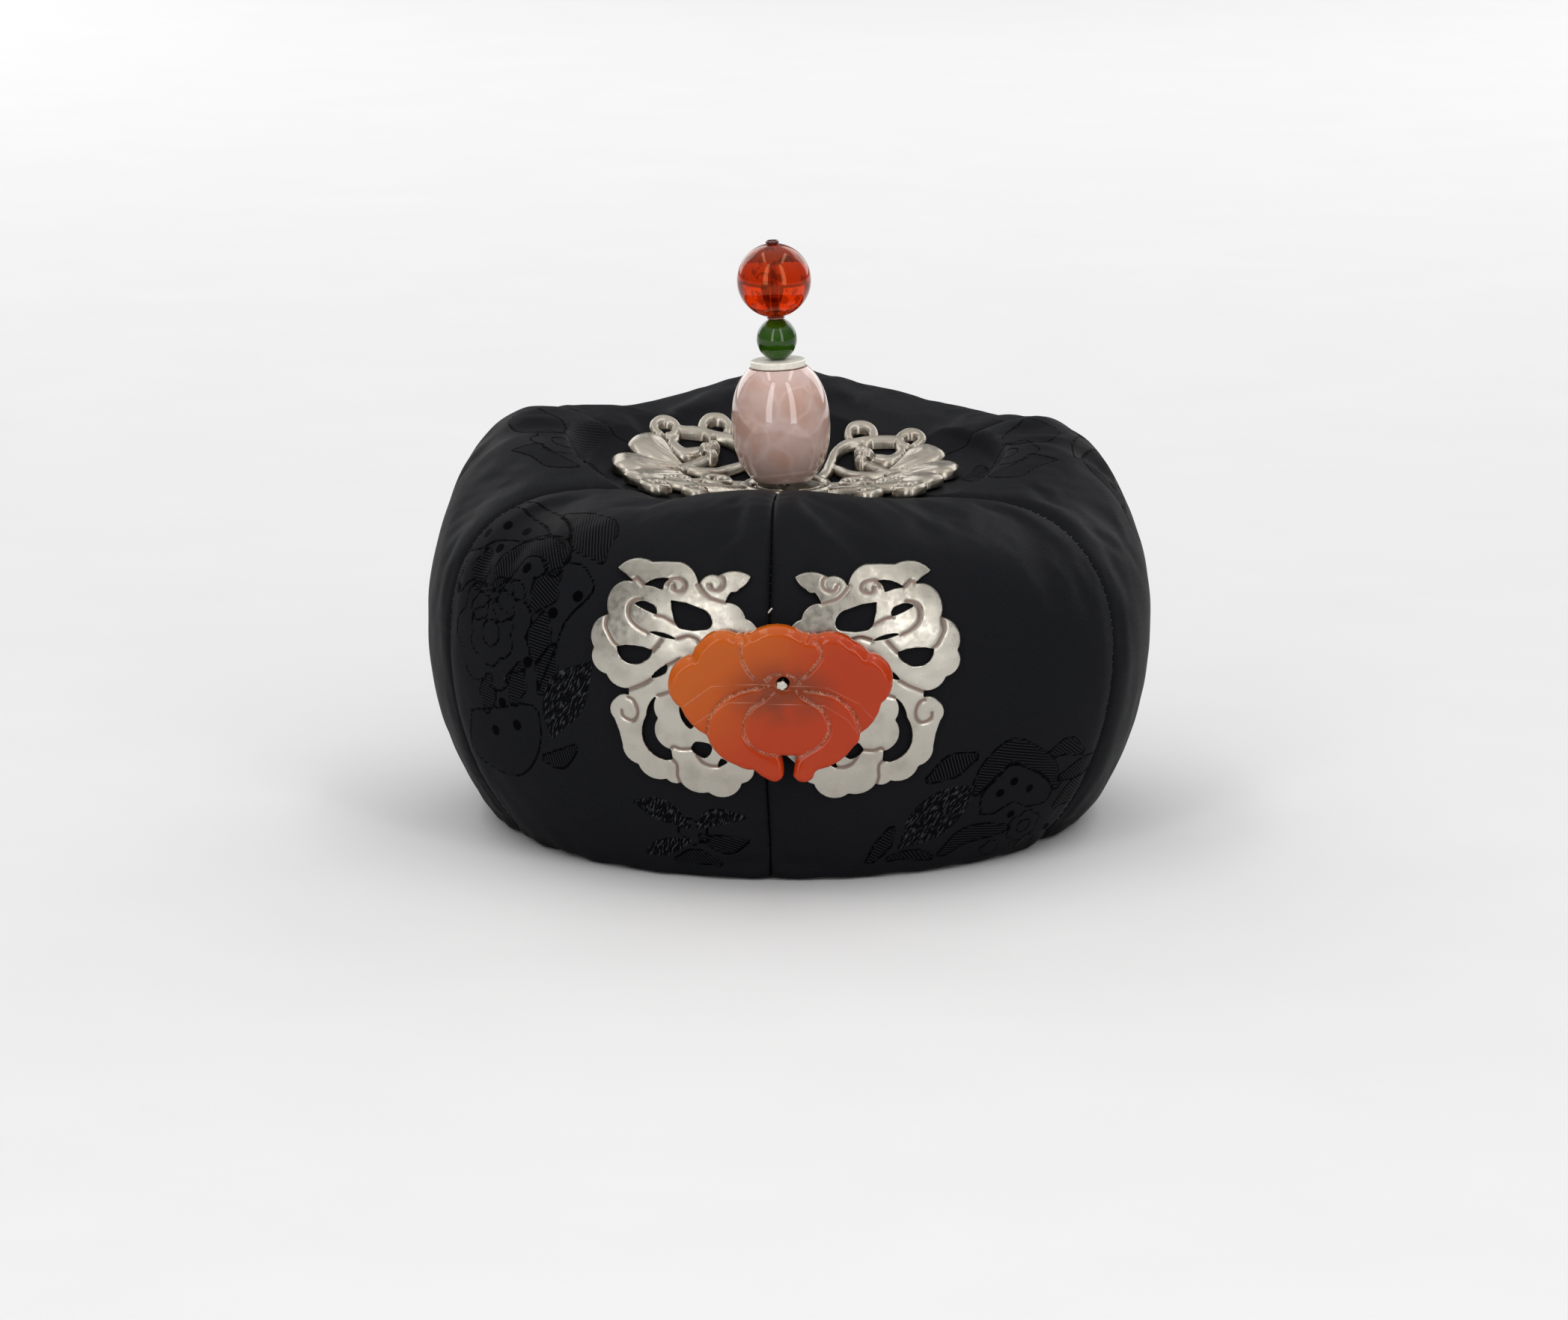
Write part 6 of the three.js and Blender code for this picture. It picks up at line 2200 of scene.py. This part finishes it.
@dataclass(frozen=True)
class Butterfly:
    """The carnelian slab, cut to a butterfly with overlapping carved wings."""

    step: float = 0.27
    low: Point = (-22.5, 22.0)
    high: Point = (24.0, 56.5)
    back: float = 72.9
    thickness: float = 4.6
    bevel: float = 1.1
    bevel_steepness: float = 0.85
    ridge_radius: float = 0.22
    hole: tuple[float, float, float] = (1.5, 43.4, 1.25)
    line_half: float = 0.36
    line_depth: float = 0.3

    def place(self, points: Array, heights: Array) -> Array:
        """Stands the flat slab in front of the plate."""
        return np.stack([points[:, 0], -self.back - heights, points[:, 1]], axis=1)

    def build(self, stone: Material) -> Piece:
        """Makes the stone.

        Args:
            stone: its material.

        Returns:
            The finished piece.
        """
        edge = closed_outline(BUTTERFLY_EDGE)
        x, z, radius = self.hole

        def field(points: Array) -> Array:
            """Signed distance to the stone's outline and its drilled hole."""
            bore = radius - np.hypot(points[:, 0] - x, points[:, 1] - z)
            return np.maximum(loop_distance(points, edge), bore)

        sheet = cut_sheet(self.low, self.high, self.step, field)
        inside = -loop_distance(sheet.points, edge)
        from_bore = np.hypot(sheet.points[:, 0] - x, sheet.points[:, 1] - z) - radius
        top_side = smooth((sheet.points[:, 1] - 40) / 8)
        width = self.bevel * (0.55 + 0.65 * top_side)
        short = (width - inside) / self.ridge_radius
        fall = self.ridge_radius * np.logaddexp(0.0, 2 * short) / 2
        height = self.thickness - self.bevel_steepness * np.minimum(fall, width)
        height -= 0.3 * np.exp(-from_bore / 0.35)
        carved = np.zeros(len(height))
        for line in CARVED_LINES:
            fit = line_fit(sheet.points, curve_through(line.points, 6))
            cut = np.exp(-((fit.distance / self.line_half) ** 2))
            height -= self.line_depth * cut
            height -= line.drop * (fit.side < 0) * np.exp(-fit.distance / line.slope)
            carved = np.maximum(carved, cut)
        crack = np.full(len(height), FAR)
        for points in CRACKS:
            crack = np.minimum(crack, line_fit(sheet.points, np.array(points)).distance)
        height += 0.04 * ripple(sheet.points, 8.0, 12)
        solid = slab(sheet, height, self.place, 0.12, {"carved": carved, "crack": crack})
        piece = mesh_piece("carnelian_butterfly", solid, 70.0)
        dress(piece, stone, "carnelian", "carnelian_butterfly")
        return piece


# Threads


class TwistedCord:
    """A Geometry Nodes tree that twists three plies of thread along a line."""

    plies: int = 3
    sides: int = 8
    spread_share: float = 0.5
    ply_share: float = 0.55

    def __init__(self, thread: Material) -> None:
        """Builds the tree for one material.

        Args:
            thread: what the cords are made of.
        """
        self.thread = thread
        self.tree = tree = NodeTree("twisted_cord")
        spread, ply, pitch = (tree.number(key) for key in ("Spread", "Ply Radius", "Twist Pitch"))
        fine = tree.base_line(tree.number("Step"))
        sockets = {"Geometry": fine, "Amount": self.plies}
        copies = tree.node("GeometryNodeDuplicateElements", sockets, domain="SPLINE")
        length = tree.node("GeometryNodeSplineParameter").outputs["Length"]
        normal = tree.out("GeometryNodeInputNormal")
        tangent = tree.out("GeometryNodeInputTangent")
        around = tree.math("MULTIPLY", tree.math("DIVIDE", length, pitch), 2 * math.pi)
        share = tree.math("MULTIPLY", copies.outputs["Duplicate Index"], 2 * math.pi / self.plies)
        angle = tree.math("ADD", around, share)
        side = tree.vector("CROSS_PRODUCT", tangent, normal)
        first = tree.vector("SCALE", normal, tree.math("COSINE", angle))
        second = tree.vector("SCALE", side, tree.math("SINE", angle))
        offset = tree.vector("SCALE", tree.vector("ADD", first, second), spread)
        moved = tree.out("GeometryNodeSetPosition", {"Geometry": copies.outputs[0], "Offset": offset})
        tree.end(tree.tube(moved, ply, self.sides), thread)

    def build(self, name: str, lines: Sequence[Array], radius: float, pitch: float, step: float) -> Piece:
        """Twists thread along lines.

        Args:
            name: the piece's name.
            lines: places in metres.
            radius: radius of the finished thread in millimetres.
            pitch: length of one twist in millimetres.
            step: length between sections in millimetres.

        Returns:
            The thread as a plain mesh.
        """
        piece = self.tree.grow(name, line_mesh(name + "_line", lines), {
            "Spread": self.spread_share * radius * MILLIMETRE,
            "Ply Radius": self.ply_share * radius * MILLIMETRE,
            "Twist Pitch": pitch * MILLIMETRE,
            "Step": step * MILLIMETRE,
        })
        finish_mesh(piece.data, 60.0)
        return piece


@dataclass(frozen=True)
class FrontThread:
    """The white thread that holds the stone: a stem through its hole, a knot, and a loose end above."""

    hole_x: float = 1.25
    hole_z: float = 42.95
    radius: float = 0.3
    knot_ring: float = 0.46
    knot_swing: float = 0.26
    knot_winds: int = 5
    knot_y: float = -77.0
    stem_root: float = -71.4

    def lines(self) -> list[Array]:
        """The stem and the tangle of the knot, as places in metres."""
        stem = [(self.hole_x, self.stem_root, self.hole_z), (self.hole_x, self.knot_y, self.hole_z)]
        turn = np.linspace(0, 2 * math.pi, 120)
        out = self.knot_ring + self.knot_swing * np.cos(self.knot_winds * turn)
        knot = np.stack([
            self.hole_x + 1.1 * out * np.cos(2 * turn),
            self.knot_y + self.knot_swing * np.sin(self.knot_winds * turn),
            self.hole_z + 0.9 * out * np.sin(2 * turn),
        ], axis=1)
        return [to_frame(curve_through(stem)), to_frame(knot)]

    def loose_end(self) -> Array:
        """A short end of thread caught in the front seam above the stone, in metres."""
        rows = [(-1.5, -71.8, 56.3), (-1.3, -72.8, 56.8), (-0.8, -72.8, 57.4)]
        return to_frame(curve_through(rows, 8))

    def build(self, cord: TwistedCord) -> None:
        """Makes the thread and its loose end."""
        piece = cord.build("front_thread", self.lines(), self.radius, 1.1, 0.07)
        dress(piece, cord.thread, "white_thread", "front_thread")
        end = cord.build("loose_thread_end", [self.loose_end()], 0.16, 0.9, 0.08)
        dress(end, cord.thread, "white_thread")


# The bead stack


class BeadShape(Enum):
    """Which CAD node a bead stands for."""

    BARREL = "quartz_barrel"
    RING = "white_ring"
    JADE = "jade_bead"
    SPACER = "spacer_bead"
    AMBER = "amber_bead"
    STOP = "stop_bead"


@dataclass(frozen=True)
class Bead:
    """A drilled bead, cut off flat at its two ends: at fullness 2 its side is an ellipse, and higher
    ones make it straighter."""

    shape: BeadShape
    radius: float
    height: float
    end_radius: float
    slot: str
    fullness: float = 2.0
    bore: float = 0.9


BEADS = (
    Bead(BeadShape.BARREL, 10.1, 23.2, 6.0, "rose_quartz", 2.3),
    Bead(BeadShape.RING, 5.65, 1.5, 5.2, "white_stone", 8.0),
    Bead(BeadShape.JADE, 4.1, 8.2, 1.5, "green_jade"),
    Bead(BeadShape.SPACER, 1.85, 0.4, 1.4, "pink_seed_bead"),
    Bead(BeadShape.AMBER, 7.55, 14.8, 1.6, "amber", bore=0.6),
    Bead(BeadShape.STOP, 1.4, 0.7, 1.1, "dark_red_bead"),
)


class BeadLathe:
    """A Geometry Nodes tree that turns a drilled bead from its sizes."""

    foot_share: float = 0.04
    outer_share: float = 0.86

    def __init__(self, material: Material) -> None:
        """Builds the tree for one material.

        Args:
            material: what the bead is made of.
        """
        self.tree = tree = NodeTree("bead_lathe")
        keys = ("Radius", "Height", "End Radius", "Fullness", "Bore", "Unevenness")
        radius, height, end, fullness, bore, uneven = (tree.number(key) for key in keys)
        grid = tree.out(
            "GeometryNodeMeshGrid", {"Size X": 1.0, "Size Y": 1.0, "Vertices X": 101, "Vertices Y": 97}
        )
        position = tree.out("GeometryNodeInputPosition")
        place = tree.node("ShaderNodeSeparateXYZ", {0: position}).outputs
        run = tree.math("ADD", place[0], 0.5)
        turn = tree.math("MULTIPLY", tree.math("ADD", place[1], 0.5), 2 * math.pi)
        outside = self.outside(run, radius, height, end, fullness)
        inner_share = tree.out(
            "ShaderNodeMapRange", {0: run, 1: self.outer_share + 0.01, 2: 1.0, 3: 1.0, 4: 0.0}
        )
        at_foot = tree.math("LESS_THAN", run, self.foot_share - 0.005)
        past_top = tree.math("GREATER_THAN", run, self.outer_share + 0.005)
        in_bore = tree.math("MAXIMUM", at_foot, past_top)
        climb = tree.math("MULTIPLY", inner_share, tree.math("SUBTRACT", 1.0, at_foot))
        bore_z = tree.math("MULTIPLY", height, climb)
        mixed_r = tree.node("ShaderNodeMix", {0: in_bore, 2: outside[0], 3: bore}, data_type="FLOAT")
        mixed_z = tree.node("ShaderNodeMix", {0: in_bore, 2: outside[1], 3: bore_z}, data_type="FLOAT")
        spot = tree.out("ShaderNodeCombineXYZ", {
            0: tree.math("MULTIPLY", mixed_r.outputs[0], tree.math("COSINE", turn)),
            1: tree.math("MULTIPLY", mixed_r.outputs[0], tree.math("SINE", turn)),
            2: mixed_z.outputs[0],
        })
        turned = tree.out("GeometryNodeSetPosition", {"Geometry": grid, "Position": spot})
        closed = tree.out("GeometryNodeMergeByDistance", {"Geometry": turned, "Distance": 1e-6})
        noise = tree.node("ShaderNodeTexNoise", {"Scale": 90.0, "Detail": 1.0}).outputs["Color"]
        centred = tree.vector("SUBTRACT", noise, (0.5, 0.5, 0.5))
        sway = tree.vector("SCALE", centred, uneven)
        worn = tree.out("GeometryNodeSetPosition", {"Geometry": closed, "Offset": sway})
        tree.end(worn, material)

    def outside(
        self,
        run: Socket,
        radius: Socket,
        height: Socket,
        end: Socket,
        fullness: Socket,
    ) -> tuple[Socket, Socket]:
        """Adds the radius and the height of the bead's outside.

        Args:
            run: how far along the bead's section a point lies, from 0 to 1.
            radius: the bead's largest radius.
            height: its height.
            end: the radius of its flat ends.
            fullness: how straight its side is.

        Returns:
            The outputs for the radius and for the height.
        """
        tree = self.tree
        over = tree.out("ShaderNodeMapRange", {
            0: run, 1: self.foot_share, 2: self.outer_share, 3: -math.pi / 2, 4: math.pi / 2,
        })
        up = tree.math("SINE", over)
        ratio = tree.math("DIVIDE", end, radius)
        cut = tree.math("SUBTRACT", 1.0, tree.math("MULTIPLY", ratio, ratio))
        away = tree.math("POWER", tree.math("ABSOLUTE", up), fullness)
        fall = tree.math("SUBTRACT", 1.0, tree.math("MULTIPLY", cut, away))
        side = tree.math("MULTIPLY", radius, tree.math("SQRT", fall))
        rise = tree.math("MULTIPLY", height, tree.math("MULTIPLY", tree.math("ADD", up, 1.0), 0.5))
        return side, rise

    def turn(self, name: str, bead: Bead, uneven: float) -> Piece:
        """Turns one bead, standing on the origin.

        Args:
            name: the piece's name.
            bead: its sizes in millimetres.
            uneven: how far its surface may wander in millimetres.

        Returns:
            The bead as a plain mesh.
        """
        return self.tree.grow(name, bpy.data.meshes.new(name + "_start"), {
            "Radius": bead.radius * MILLIMETRE,
            "Height": bead.height * MILLIMETRE,
            "End Radius": bead.end_radius * MILLIMETRE,
            "Fullness": bead.fullness,
            "Bore": bead.bore * MILLIMETRE,
            "Unevenness": uneven * MILLIMETRE,
        })


@dataclass(frozen=True)
class BeadStack:
    """The beads on their thread, leaning a little to the left."""

    lean: float = 2.7
    foot_x: float = -1.1
    foot_height: float = 69.6
    gap: float = 0.1
    thread_radius: float = 0.45
    knot_top: float = -11.2
    knot_radius: float = 1.9
    knot_height: float = 1.1
    knot_turns: int = 3
    turn_per_rise: float = 18.0
    unevenness: float = 0.12

    def upright(self) -> Matrix:
        """The turn and shift that stand the stack on the plate, in metres."""
        foot = to_frame(np.array([self.foot_x, 0.0, self.foot_height]))
        return Matrix.Translation(Vector(foot)) @ Matrix.Rotation(math.radians(-self.lean), 4, "Y")

    def build(self, finishes: dict[BeadShape, Material], cord: TwistedCord) -> None:
        """Makes the beads and their thread.

        Args:
            finishes: a material for each bead.
            cord: the tool that twists the thread.
        """
        foot = 0.0
        for bead in BEADS:
            lathe = BeadLathe(finishes[bead.shape])
            uneven = self.unevenness if bead.radius > 3 else 0.0
            piece = lathe.turn(bead.shape.value, bead, uneven)
            lift = Matrix.Translation((0.0, 0.0, foot * MILLIMETRE))
            piece.data.transform(self.upright() @ lift)
            if signed_volume(piece.data) < 0:
                piece.data.flip_normals()
            finish_mesh(piece.data, 35.0)
            dress(piece, finishes[bead.shape], bead.slot, bead.shape.value)
            foot += bead.height + self.gap
        thread_top = foot - self.gap - 0.25
        rows = np.array([(0.0, 0.0, self.knot_top), (0.0, 0.0, thread_top)]) * MILLIMETRE
        line = np.linspace(rows[0], rows[1], 40)
        coil = np.linspace(0, 2 * math.pi * self.knot_turns, 90)
        climb = self.knot_top - self.knot_height + coil / self.turn_per_rise
        ring = [self.knot_radius * np.cos(coil), self.knot_radius * np.sin(coil), climb]
        knot = np.stack(ring, axis=1) * MILLIMETRE
        stand = np.array(self.upright())
        lines = [points @ stand[:3, :3].T + stand[:3, 3] for points in (line, knot)]
        thread = cord.build("stack_thread", lines, self.thread_radius, 2.4, 0.16)
        dress(thread, cord.thread, "white_thread", "stack_thread")


# The studio


@dataclass(frozen=True)
class Studio:
    """A pale floor, soft light and the camera at the photograph's angle."""

    lens: float = 150.0
    sensor: float = 36.0
    elevation: float = 12.0
    azimuth: float = 2.0
    distance: float = 1343.0
    aim: tuple[float, float, float] = (0.0, 0.0, 43.0)
    aim_column: float = 1054.0
    aim_row: float = 810.0
    floor_half: float = 4.0
    horizon: float = 0.2
    zenith: float = 1.15
    rise_power: float = 2.0
    strip_azimuths: tuple[float, float] = (-24.0, 33.0)
    strip_distance: float = 0.9
    strip_height: float = 0.75
    strip_size: Point = (0.22, 1.45)
    strip_brightness: float = 3.5
    overhead_reach: float = 0.62
    overhead_height: float = 1.5
    overhead_size: Point = (0.18, 1.2)
    overhead_brightness: float = 3.0
    side_box: tuple[float, float, float] = (0.90, 1.42, 0.75)
    side_aim: float = 0.07
    side_size: Point = (1.3, 1.3)
    side_brightness: float = 1.7

    def camera(self) -> None:
        """Places the camera so that the aim point falls on its place in the picture."""
        turn, tip = math.radians(self.azimuth), math.radians(self.elevation)
        back = Vector((math.sin(turn) * math.cos(tip), -math.cos(turn) * math.cos(tip), math.sin(tip)))
        right = Vector((math.cos(turn), math.sin(turn), 0.0))
        up = back.cross(right)
        focal = self.lens / self.sensor * PHOTO_WIDTH
        across = (self.aim_column - PHOTO_WIDTH / 2) / focal
        rise = -(self.aim_row - PHOTO_HEIGHT / 2) / focal
        place = Vector(self.aim) - self.distance * (across * right + rise * up - back)
        data = bpy.data.cameras.new("camera")
        data.lens = self.lens
        data.sensor_width = self.sensor
        data.clip_start = 0.05
        data.clip_end = 30.0
        camera = new_piece("camera", data)
        axes = Matrix((right, up, back)).transposed().to_4x4()
        camera.matrix_world = Matrix.Translation(Vector(to_frame(np.array(place)))) @ axes
        bpy.context.scene.camera = camera

    def light(self, name: str, place: Vector, aim: Vector, size: Point, brightness: float) -> None:
        """Adds a soft box.

        Args:
            name: its name.
            place: where it stands, in metres.
            aim: where it points, in metres.
            size: its width and height in metres.
            brightness: how bright its face is, against the floor's 1.
        """
        data = bpy.data.lights.new(name, "AREA")
        data.shape = "RECTANGLE"
        data.size, data.size_y = size
        data.energy = brightness * math.pi * size[0] * size[1]
        lamp = new_piece(name, data)
        lamp.location = place
        lamp.rotation_mode = "QUATERNION"
        lamp.rotation_quaternion = (aim - place).to_track_quat("-Z", "Y")

    def floor(self) -> None:
        """Lays the pale floor."""
        half = self.floor_half
        mesh = bpy.data.meshes.new("floor")
        corners = [(-half, -half, 0.0), (half, -half, 0.0), (half, half, 0.0), (-half, half, 0.0)]
        mesh.from_pydata(corners, [], [[0, 1, 2, 3]])
        shader = Shader("pale_floor")
        grain = shader.noise(shader.object_place(), 40.0)
        shader.feed(shader.mix(grain, (0.71, 0.71, 0.71), (0.74, 0.74, 0.74)), "Base Color")
        shader.constant(Roughness=0.9, Specular_IOR_Level=0.1)
        mesh.materials.append(shader.material)
        floor = new_piece("floor", mesh)

    def world(self) -> None:
        """Fills the room with white light that grows towards the ceiling."""
        world = bpy.data.worlds.new("studio")
        world.use_nodes = True
        tree = Nodes(world.node_tree)
        direction = tree.node("ShaderNodeTexCoord").outputs["Generated"]
        up = tree.node("ShaderNodeSeparateXYZ", {0: direction}).outputs["Z"]
        climb = tree.out("ShaderNodeMath", {0: up, 1: self.rise_power}, operation="POWER", use_clamp=True)
        level = tree.out("ShaderNodeMapRange", {0: climb, 3: self.horizon, 4: self.zenith})
        background = tree.nodes["Background"]
        tree.links.new(level, background.inputs["Strength"])
        background.inputs["Color"].default_value = (1.0, 1.0, 1.0, 1.0)
        bpy.context.scene.world = world
        bpy.context.scene.view_settings.view_transform = "Standard"

    def build(self) -> None:
        """Sets up the whole studio."""
        self.camera()
        self.floor()
        self.world()
        for number, azimuth in enumerate(self.strip_azimuths):
            turn = math.radians(azimuth)
            across, ahead = math.sin(turn) * self.strip_distance, -math.cos(turn) * self.strip_distance
            strip = Vector((across, ahead, self.strip_height))
            level = Vector((0.0, 0.0, self.strip_height))
            self.light(f"strip_{number}", strip, level, self.strip_size, self.strip_brightness)
        for number, side in enumerate((-1, 1)):
            bar = Vector((side * self.overhead_reach, 0.0, self.overhead_height))
            below = bar - Vector((0.0, 0.0, 1.0))
            self.light(f"overhead_{number}", bar, below, self.overhead_size, self.overhead_brightness)
            box = Vector(self.side_box) * Vector((side, 1.0, 1.0))
            middle = Vector((0.0, 0.0, self.side_aim))
            self.light(f"side_{number}", box, middle, self.side_size, self.side_brightness)
        LOG.info("studio: camera, floor and six lights")


def main() -> None:
    """Builds every piece in order."""
    logging.basicConfig(level=logging.INFO, format="%(message)s")
    Studio().build()
    silk = SilkDamask().material()
    for gore in GORES:
        gore.build(silk)
    black_thread = Thread("black_thread", (0.012, 0.012, 0.014), (0.003, 0.003, 0.004)).material()
    SeamStitches().build(black_thread)
    cast = Silver(
        "cast_silver", bright=(0.38, 0.345, 0.29), dull=(0.28, 0.247, 0.20), recess=(0.070, 0.040, 0.026),
        roughness=0.30, spread=0.05, grain=0.014, brushing=0.003,
    )
    TopPlate().build(cast.material())
    sheet = Silver(
        "sheet_silver", bright=(0.52, 0.49, 0.43), dull=(0.41, 0.38, 0.325), recess=(0.27, 0.205, 0.17),
        roughness=0.33, spread=0.07, grain=0.012, painted_shade_heights=(53.0, 60.0),
    )
    FrontPlate().build(sheet.material())
    Butterfly().build(Carnelian().material())
    cord = TwistedCord(Thread("white_thread", (0.72, 0.69, 0.61), (0.50, 0.47, 0.40)).material())
    FrontThread().build(cord)
    BeadStack().build(bead_finishes(), cord)


def bead_finishes() -> dict[BeadShape, Material]:
    """A material for each bead."""
    finishes = {
        BeadShape.BARREL: CloudyStone(
            "rose_quartz", light=(0.61, 0.44, 0.39), deep=(0.57, 0.355, 0.285), cloud_size=(6.0, 6.0, 7.0),
            vein=(0.74, 0.56, 0.52), vein_share=0.35, roughness=0.05, scatter=0.35,
            scatter_radius=(2.0, 1.2, 1.0), coat=0.5,
        ),
        BeadShape.RING: Polished("white_stone", (0.93, 0.89, 0.78), (0.83, 0.78, 0.67), 0.3),
        BeadShape.JADE: CloudyStone(
            "green_jade", light=(0.026, 0.090, 0.003), deep=(0.013, 0.048, 0.001),
            cloud_size=(9.0, 9.0, 1.8), vein=(0.05, 0.13, 0.02), vein_share=0.1, roughness=0.06,
            scatter=0.15, scatter_radius=(0.4, 1.0, 0.3), gloss=0.3, coat=0.25,
        ),
        BeadShape.SPACER: Polished("pink_seed_bead", (0.50, 0.27, 0.22), (0.40, 0.18, 0.14), 0.3),
        BeadShape.AMBER: Amber(),
        BeadShape.STOP: Polished("dark_red_bead", (0.10, 0.008, 0.005), (0.05, 0.004, 0.003), 0.12),
    }
    return {shape: finish.material() for shape, finish in finishes.items()}


if __name__ == "__main__":
    main()
